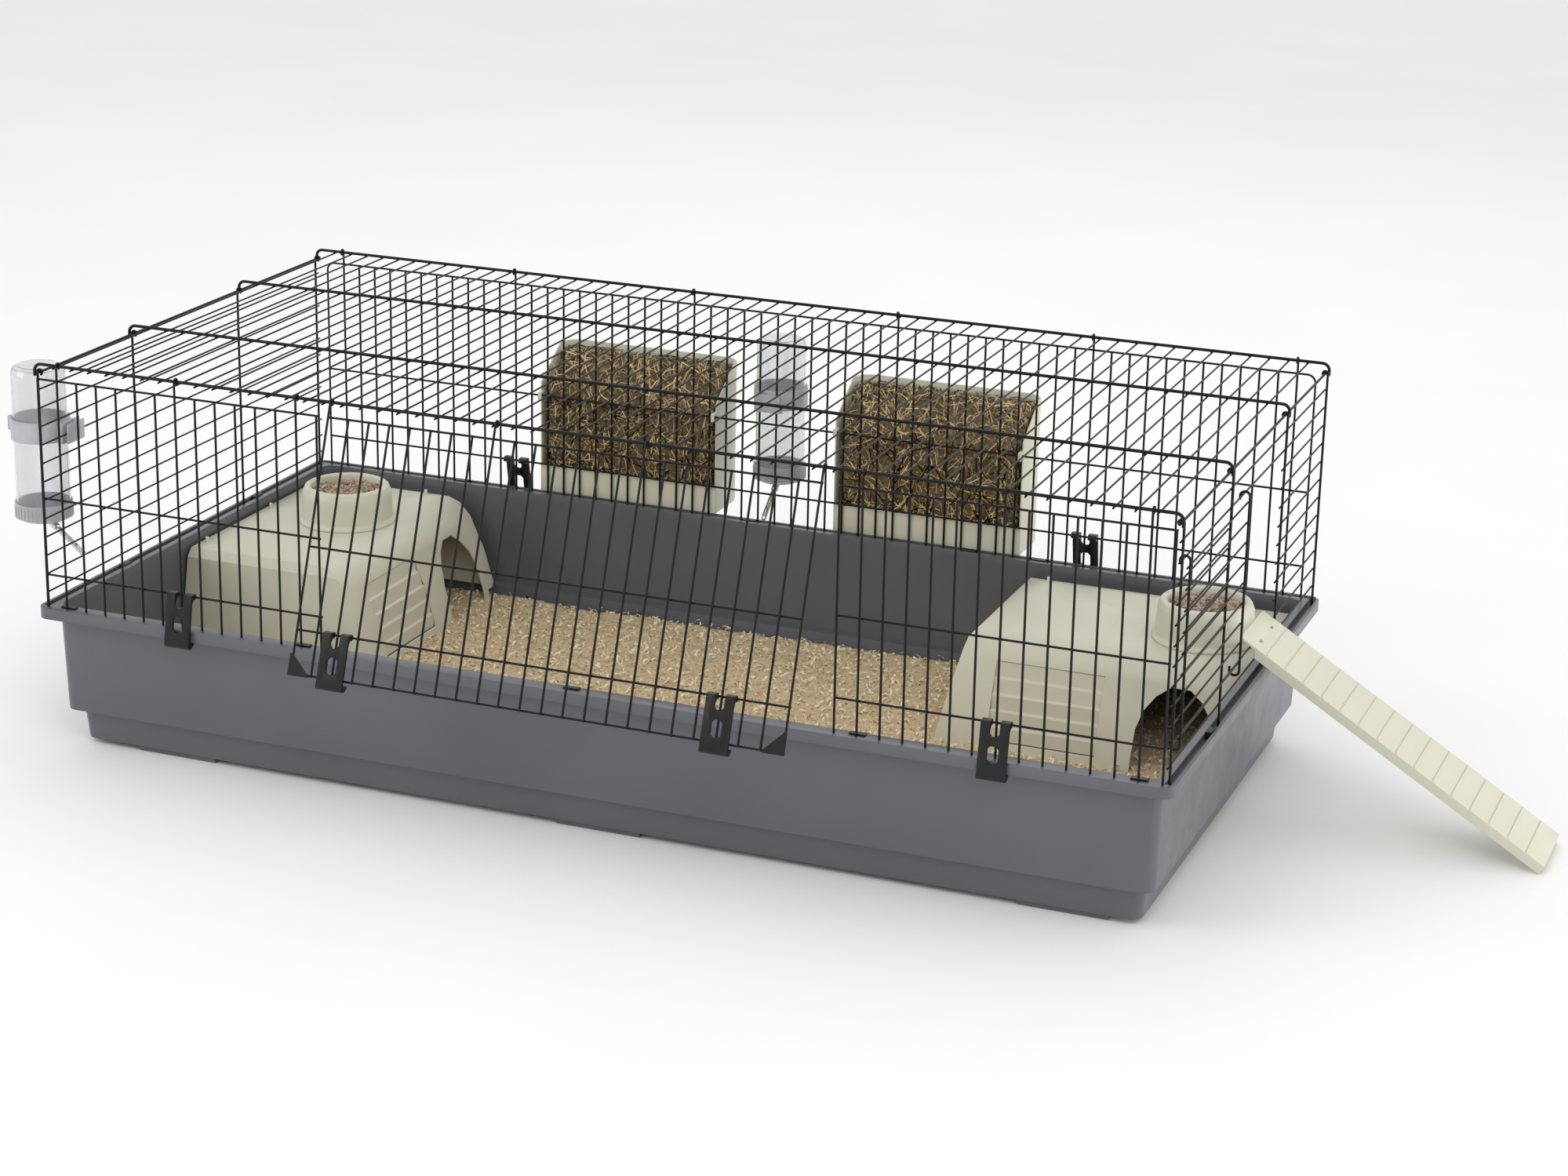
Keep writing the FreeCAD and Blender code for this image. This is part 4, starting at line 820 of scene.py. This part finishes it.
def pellet_tree():
    """Short cylinders of three lengths on the faces that look up."""
    tree, given, ids = new_tree("Feed pellets", [
        ("Density", "Float", 1.0), ("Length", "Float", 0.008), ("Radius", "Float", 0.002),
        ("Seed", "Int", 0), ("Low", "Vector", (0, 0, 0)), ("High", "Vector", (0, 0, 0)),
        ("Material", "Material", None)])
    points = node(tree, "GeometryNodeDistributePointsOnFaces",
                  {"Mesh": given.outputs["Geometry"], "Selection": facing_up(tree, 0.5),
                   "Density": given.outputs["Density"], "Seed": given.outputs["Seed"]})
    shapes = []
    for ratio in (1.0, 0.7, 1.25):
        pellet = node(tree, "GeometryNodeMeshCylinder", {
            "Vertices": 9, "Radius": given.outputs["Radius"],
            "Depth": times(tree, given.outputs["Length"], ratio)})
        shapes.append(pellet.outputs[0])
    strewn = scatter(tree, points.outputs["Points"], shapes, random_turn(tree, given.outputs["Seed"]),
                     random_number(tree, 0.8, 1.15, given.outputs["Seed"]), given.outputs["Seed"])
    real = node(tree, "GeometryNodeRealizeInstances", {"Geometry": strewn})
    inside = kept_inside(tree, real.outputs[0], given.outputs["Low"], given.outputs["High"])
    heap = node(tree, "GeometryNodeJoinGeometry")
    tree.links.new(inside, heap.inputs[0])
    tree.links.new(given.outputs["Geometry"], heap.inputs[0])
    end_tree(tree, heap.outputs[0], given.outputs["Material"])
    return tree, ids


class CAGE_OT_fill_bowls(bpy.types.Operator):
    """Heap feed pellets in the bowls"""

    bl_idname = "cage.fill_bowls"
    bl_label = "Fill bowls"

    def execute(self, context):
        sizes = settings()[1]
        tree, ids = pellet_tree()
        for number, side in enumerate(("left", "right")):
            source = side + "_pellets"
            low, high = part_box(source)
            heap = merged_copy(source, side + "_feed")
            area = math.pi * ((high.x - low.x) / 2) ** 2
            room = Vector((0.0, 0.0, HEAP_RISE))
            grow(heap, tree, ids, {
                "Density": sizes.pellets / area, "Length": sizes.pellet, "Radius": sizes.pellet_radius,
                "Seed": sizes.seed + number, "Low": low, "High": high + room,
                "Material": finish("pellets")})
            hand_over(heap, source, side + "_food_bowl")
        return {"FINISHED"}


def hay_tree():
    """A ruffled core in the darkest hay tone as painted shade deep in the rack, with stalks all over it,
    held inside the rack.
    """
    tree, given, ids = new_tree("Hay", [
        ("Density", "Float", 1.0), ("Length", "Float", 0.05), ("Radius", "Float", 0.0005),
        ("Seed", "Int", 0), ("Low", "Vector", (0, 0, 0)), ("High", "Vector", (0, 0, 0)),
        ("Material", "Material", None)])
    fine = node(tree, "GeometryNodeSubdivideMesh", {"Mesh": given.outputs["Geometry"], "Level": 3})
    rough = node(tree, "ShaderNodeTexNoise", {"Scale": 55.0, "Detail": 2.0})
    normal = node(tree, "GeometryNodeInputNormal")
    inward = node(tree, "ShaderNodeVectorMath",
                  {0: normal.outputs[0], "Scale": times(tree, rough.outputs["Fac"], -0.012)},
                  operation="SCALE")
    core = node(tree, "GeometryNodeSetPosition",
                {"Geometry": fine.outputs[0], "Offset": inward.outputs[0]})
    # Painted shade: the core gets tint 0, the darkest hay colour, standing in for the shade between the
    # stalks.
    dark = node(tree, "GeometryNodeStoreNamedAttribute",
                {"Geometry": core.outputs[0], "Name": "tint", "Value": 0.0},
                data_type="FLOAT", domain="POINT")
    points = node(tree, "GeometryNodeDistributePointsOnFaces", {
        "Mesh": core.outputs[0], "Density": given.outputs["Density"], "Seed": given.outputs["Seed"]})
    shapes = []
    for ratio, across, bend in (
            (1.0, 0.1, 0.35), (0.75, -0.2, 0.6), (1.3, 0.3, 0.15), (0.55, 0.0, 0.9)):
        long = times(tree, given.outputs["Length"], ratio)
        shapes.append(bent_stalk(tree, long, across, bend, given.outputs["Radius"]))
    strewn = scatter(tree, points.outputs["Points"], shapes, random_turn(tree, given.outputs["Seed"]),
                     random_number(tree, 0.7, 1.3, given.outputs["Seed"]), given.outputs["Seed"])
    real = node(tree, "GeometryNodeRealizeInstances", {"Geometry": strewn})
    inside = kept_inside(tree, real.outputs[0], given.outputs["Low"], given.outputs["High"])
    bundle = node(tree, "GeometryNodeJoinGeometry")
    tree.links.new(inside, bundle.inputs[0])
    tree.links.new(dark.outputs[0], bundle.inputs[0])
    end_tree(tree, bundle.outputs[0], given.outputs["Material"])
    return tree, ids


def box_area(low, high):
    """Area of all six faces of a box."""
    size = high - low
    return 2 * (size.x * size.y + size.y * size.z + size.z * size.x)


class CAGE_OT_fill_racks(bpy.types.Operator):
    """Stuff the racks with hay"""

    bl_idname = "cage.fill_racks"
    bl_label = "Fill hay racks"

    def execute(self, context):
        sizes = settings()[1]
        tree, ids = hay_tree()
        for number, side in enumerate(("left", "right")):
            source = side + "_hay"
            low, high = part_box(source)
            bundle = merged_copy(source, side + "_hay_stalks")
            grow(bundle, tree, ids, {
                "Density": sizes.stalks / box_area(low, high), "Length": sizes.stalk,
                "Radius": sizes.stalk_radius, "Seed": sizes.seed + number,
                "Low": (low.x + HAY_CLEARANCE, low.y - HAY_FRONT, low.z + HAY_CLEARANCE),
                "High": (high.x - HAY_CLEARANCE, high.y - HAY_CLEARANCE, high.z + HAY_RISE),
                "Material": finish("hay")})
            hand_over(bundle, source, side + "_rack")
        return {"FINISHED"}


def shavings_tree():
    """Curled shavings on the faces that look up."""
    tree, given, ids = new_tree("Shavings", [
        ("Density", "Float", 1.0), ("Curl", "Float", 0.004), ("Width", "Float", 0.003),
        ("Seed", "Int", 0), ("Low", "Vector", (0, 0, 0)), ("High", "Vector", (0, 0, 0)),
        ("Material", "Material", None)])
    points = node(tree, "GeometryNodeDistributePointsOnFaces",
                  {"Mesh": given.outputs["Geometry"], "Selection": facing_up(tree, 0.4),
                   "Density": given.outputs["Density"], "Seed": given.outputs["Seed"]})
    shapes = []
    for curl, sweep, wide in ((1.0, 4.2, 1.0), (1.6, 1.9, 0.8), (0.75, 5.2, 1.1), (2.3, 1.1, 0.7)):
        arc = node(tree, "GeometryNodeCurveArc", {
            "Resolution": 5, "Radius": times(tree, given.outputs["Curl"], curl), "Sweep Angle": sweep})
        strip = node(tree, "GeometryNodeCurvePrimitiveQuadrilateral",
                     {"Width": 0.00022, "Height": times(tree, given.outputs["Width"], wide)})
        shaving = node(tree, "GeometryNodeCurveToMesh",
                       {"Curve": arc.outputs[0], "Profile Curve": strip.outputs[0], "Fill Caps": True})
        shapes.append(shaving.outputs[0])
    strewn = scatter(tree, points.outputs["Points"], shapes, random_turn(tree, given.outputs["Seed"]),
                     random_number(tree, 0.6, 1.35, given.outputs["Seed"]), given.outputs["Seed"])
    real = node(tree, "GeometryNodeRealizeInstances", {"Geometry": strewn})
    inside = kept_inside(tree, real.outputs[0], given.outputs["Low"], given.outputs["High"])
    end_tree(tree, inside, given.outputs["Material"])
    return tree, ids


def litter_height(x, y, wave):
    """Height of the dents at a place on the floor."""
    slow = noise.noise(Vector((x * 7.0, y * 7.0, 0.3)))
    fast = noise.noise(Vector((x * 34.0, y * 34.0, 4.0)))
    grain = noise.noise(Vector((x * 110.0, y * 110.0, 9.0)))
    return wave * (0.9 * slow + 0.5 * fast + 0.28 * grain)


def litter_bed(name, low, high, cell, wave):
    """A closed bed with a dented top between two corners."""
    across = max(2, round((high.x - low.x) / cell))
    deep = max(2, round((high.y - low.y) / cell))
    form = bmesh.new()
    rows = []
    for j in range(deep + 1):
        y = low.y + (high.y - low.y) * j / deep
        rows.append([])
        for i in range(across + 1):
            x = low.x + (high.x - low.x) * i / across
            rows[-1].append(form.verts.new((x, y, high.z + litter_height(x, y, wave))))
    for j in range(deep):
        for i in range(across):
            form.faces.new([rows[j][i], rows[j][i + 1], rows[j + 1][i + 1], rows[j + 1][i]])
    edge = (rows[0][:-1] + [row[-1] for row in rows][:-1] + list(reversed(rows[-1]))[:-1]
            + [row[0] for row in reversed(rows)][:-1])
    foot = [form.verts.new((vert.co.x, vert.co.y, low.z)) for vert in edge]
    count = len(edge)
    for k in range(count):
        form.faces.new([edge[k], foot[k], foot[(k + 1) % count], edge[(k + 1) % count]])
    form.faces.new(foot)
    bmesh.ops.recalc_face_normals(form, faces=form.faces)
    bed = piece_from(form, name)
    bed.data.shade_smooth()
    return bed


class CAGE_OT_strew_bedding(bpy.types.Operator):
    """Strew curled wood shavings over the tray's floor"""

    bl_idname = "cage.strew_bedding"
    bl_label = "Strew bedding"

    def execute(self, context):
        sizes = settings()[1]
        low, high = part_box("bedding")
        inset = Vector((BED_INSET, BED_INSET, 0.0))
        top = Vector((0.0, 0.0, BED_TOP))
        wave = sizes.litter_wave
        bed = litter_bed("litter_bed", low + inset, high - inset - top, sizes.litter_cell, wave)
        tree, ids = shavings_tree()
        quarter = (high.x - low.x) / 4
        for number in range(4):
            from_x = low.x + number * quarter
            part_low = Vector((from_x, low.y + inset.y, high.z - SHAVINGS_DEPTH))
            part_high = Vector((from_x + quarter, high.y - inset.y, high.z - BED_TOP))
            layer = litter_bed("shavings_%d" % (number + 1), part_low, part_high, SHAVINGS_DEPTH, wave)
            area = quarter * (high.y - low.y)
            grow(layer, tree, ids, {
                "Density": sizes.shavings / area, "Curl": sizes.shaving, "Width": sizes.shaving_width,
                "Seed": sizes.seed + number, "Low": (low.x, low.y, low.z + SHAVINGS_LOW),
                "High": (high.x, high.y, high.z + SHAVINGS_RISE), "Material": finish("bedding")})
            carry(layer, CAGE)
        hand_over(bed, "bedding", CAGE)
        return {"FINISHED"}


# ---- stage ------------------------------------------------------------------------------------
FLOOR_REACH = 40.0
FLOOR_LEVEL = -0.0005
VIEW_END = 120.0
# Studio lamps: name, place, target, width and height, power in watts.
LAMPS = (
    ("key", (2.2, -3.2, 3.4), (0.0, 0.0, 0.2), (2.6, 2.6), 42.0),
    ("fill", (-3.6, -2.6, 2.2), (0.0, 0.0, 0.25), (2.4, 2.4), 44.0),
    ("side", (4.0, 0.9, 0.36), (0.8, 0.2, 0.06), (2.4, 0.5), 46.0),
    ("back", (-0.5, 3.6, 3.0), (0.0, 0.0, 0.3), (3.0, 1.6), 16.0),
)


def area_light(name, at, target, size, power):
    """A rectangular lamp that faces its target."""
    lamp = bpy.data.lights.new(name, "AREA")
    lamp.shape = "RECTANGLE"
    lamp.size, lamp.size_y = size
    lamp.energy = power
    thing = bpy.data.objects.new(name, lamp)
    bpy.context.scene.collection.objects.link(thing)
    thing.location = at
    thing.rotation_euler = (Vector(target) - Vector(at)).to_track_quat("-Z", "Y").to_euler()


class CAGE_OT_set_stage(bpy.types.Operator):
    """Lay the floor and set the lights and the camera"""

    bl_idname = "cage.set_stage"
    bl_label = "Set stage"

    def execute(self, context):
        scene = context.scene
        stage = scene.cage_stage
        corners = [(x * FLOOR_REACH, y * FLOOR_REACH, FLOOR_LEVEL)
                   for x, y in ((-1, -1), (1, -1), (1, 1), (-1, 1))]
        floor_mesh = bpy.data.meshes.new("studio_floor")
        floor_mesh.from_pydata(corners, [], [(0, 1, 2, 3)])
        floor = new_piece("studio_floor", floor_mesh)
        material, tree, shader = new_material("pale_floor")
        speck = object_noise(tree, 2.0, 2.0)
        tree.links.new(two_tone(tree, speck.outputs["Fac"], (0.93, 0.93, 0.93), (0.95, 0.95, 0.95)),
                       shader.inputs["Base Color"])
        shader.inputs["Roughness"].default_value = 0.75
        floor.data.materials.append(material)
        world = bpy.data.worlds.new("studio_world")
        world.use_nodes = True
        sky = world.node_tree.nodes["Background"]
        sky.inputs["Color"].default_value = (1.0, 1.0, 1.0, 1.0)
        sky.inputs["Strength"].default_value = stage.sky
        scene.world = world
        for lamp in LAMPS:
            area_light(*lamp)
        lens = bpy.data.cameras.new("camera")
        lens.sensor_width = 36.0
        lens.lens = stage.lens
        lens.shift_y = stage.rise
        lens.clip_end = VIEW_END
        camera = bpy.data.objects.new("camera", lens)
        scene.collection.objects.link(camera)
        camera.location = stage.eye
        aim = Euler((math.pi / 2 - stage.tilt, 0.0, stage.pan)).to_matrix()
        camera.rotation_euler = (aim @ Matrix.Rotation(stage.roll, 3, "Z")).to_euler()
        scene.camera = camera
        scene.view_settings.view_transform = "Standard"
        return {"FINISHED"}


# ---- add-on -----------------------------------------------------------------------------------
STEPS = (CAGE_OT_set_stage, CAGE_OT_coat_wires, CAGE_OT_weld_wires, CAGE_OT_mould_tray,
         CAGE_OT_mould_hideouts, CAGE_OT_mould_bowls, CAGE_OT_mould_ramp, CAGE_OT_mould_racks,
         CAGE_OT_mould_clips, CAGE_OT_make_bottles, CAGE_OT_fill_bowls, CAGE_OT_fill_racks,
         CAGE_OT_strew_bedding)


class CAGE_PT_dresser(bpy.types.Panel):
    """The cage's steps and settings in the sidebar"""

    bl_idname = "CAGE_PT_dresser"
    bl_label = "Rabbit cage"
    bl_space_type = "VIEW_3D"
    bl_region_type = "UI"
    bl_category = "Cage"

    def draw(self, context):
        layout = self.layout
        for step in STEPS:
            layout.operator(step.bl_idname)
        for group in (context.scene.cage_sizes, context.scene.cage_colours, context.scene.cage_stage):
            for name in group.bl_rna.properties.keys():
                if name not in ("rna_type", "name"):
                    layout.prop(group, name)


CLASSES = (CageColours, CageSizes, CageStage) + STEPS + (CAGE_PT_dresser,)


def register():
    for group in CLASSES:
        bpy.utils.register_class(group)
    bpy.types.Scene.cage_colours = bpy.props.PointerProperty(type=CageColours)
    bpy.types.Scene.cage_sizes = bpy.props.PointerProperty(type=CageSizes)
    bpy.types.Scene.cage_stage = bpy.props.PointerProperty(type=CageStage)


def unregister():
    del bpy.types.Scene.cage_stage
    del bpy.types.Scene.cage_sizes
    del bpy.types.Scene.cage_colours
    for group in reversed(CLASSES):
        bpy.utils.unregister_class(group)


def main():
    register()
    for step in STEPS:
        family, name = step.bl_idname.split(".")
        getattr(getattr(bpy.ops, family), name)()


if __name__ == "__main__":
    main()
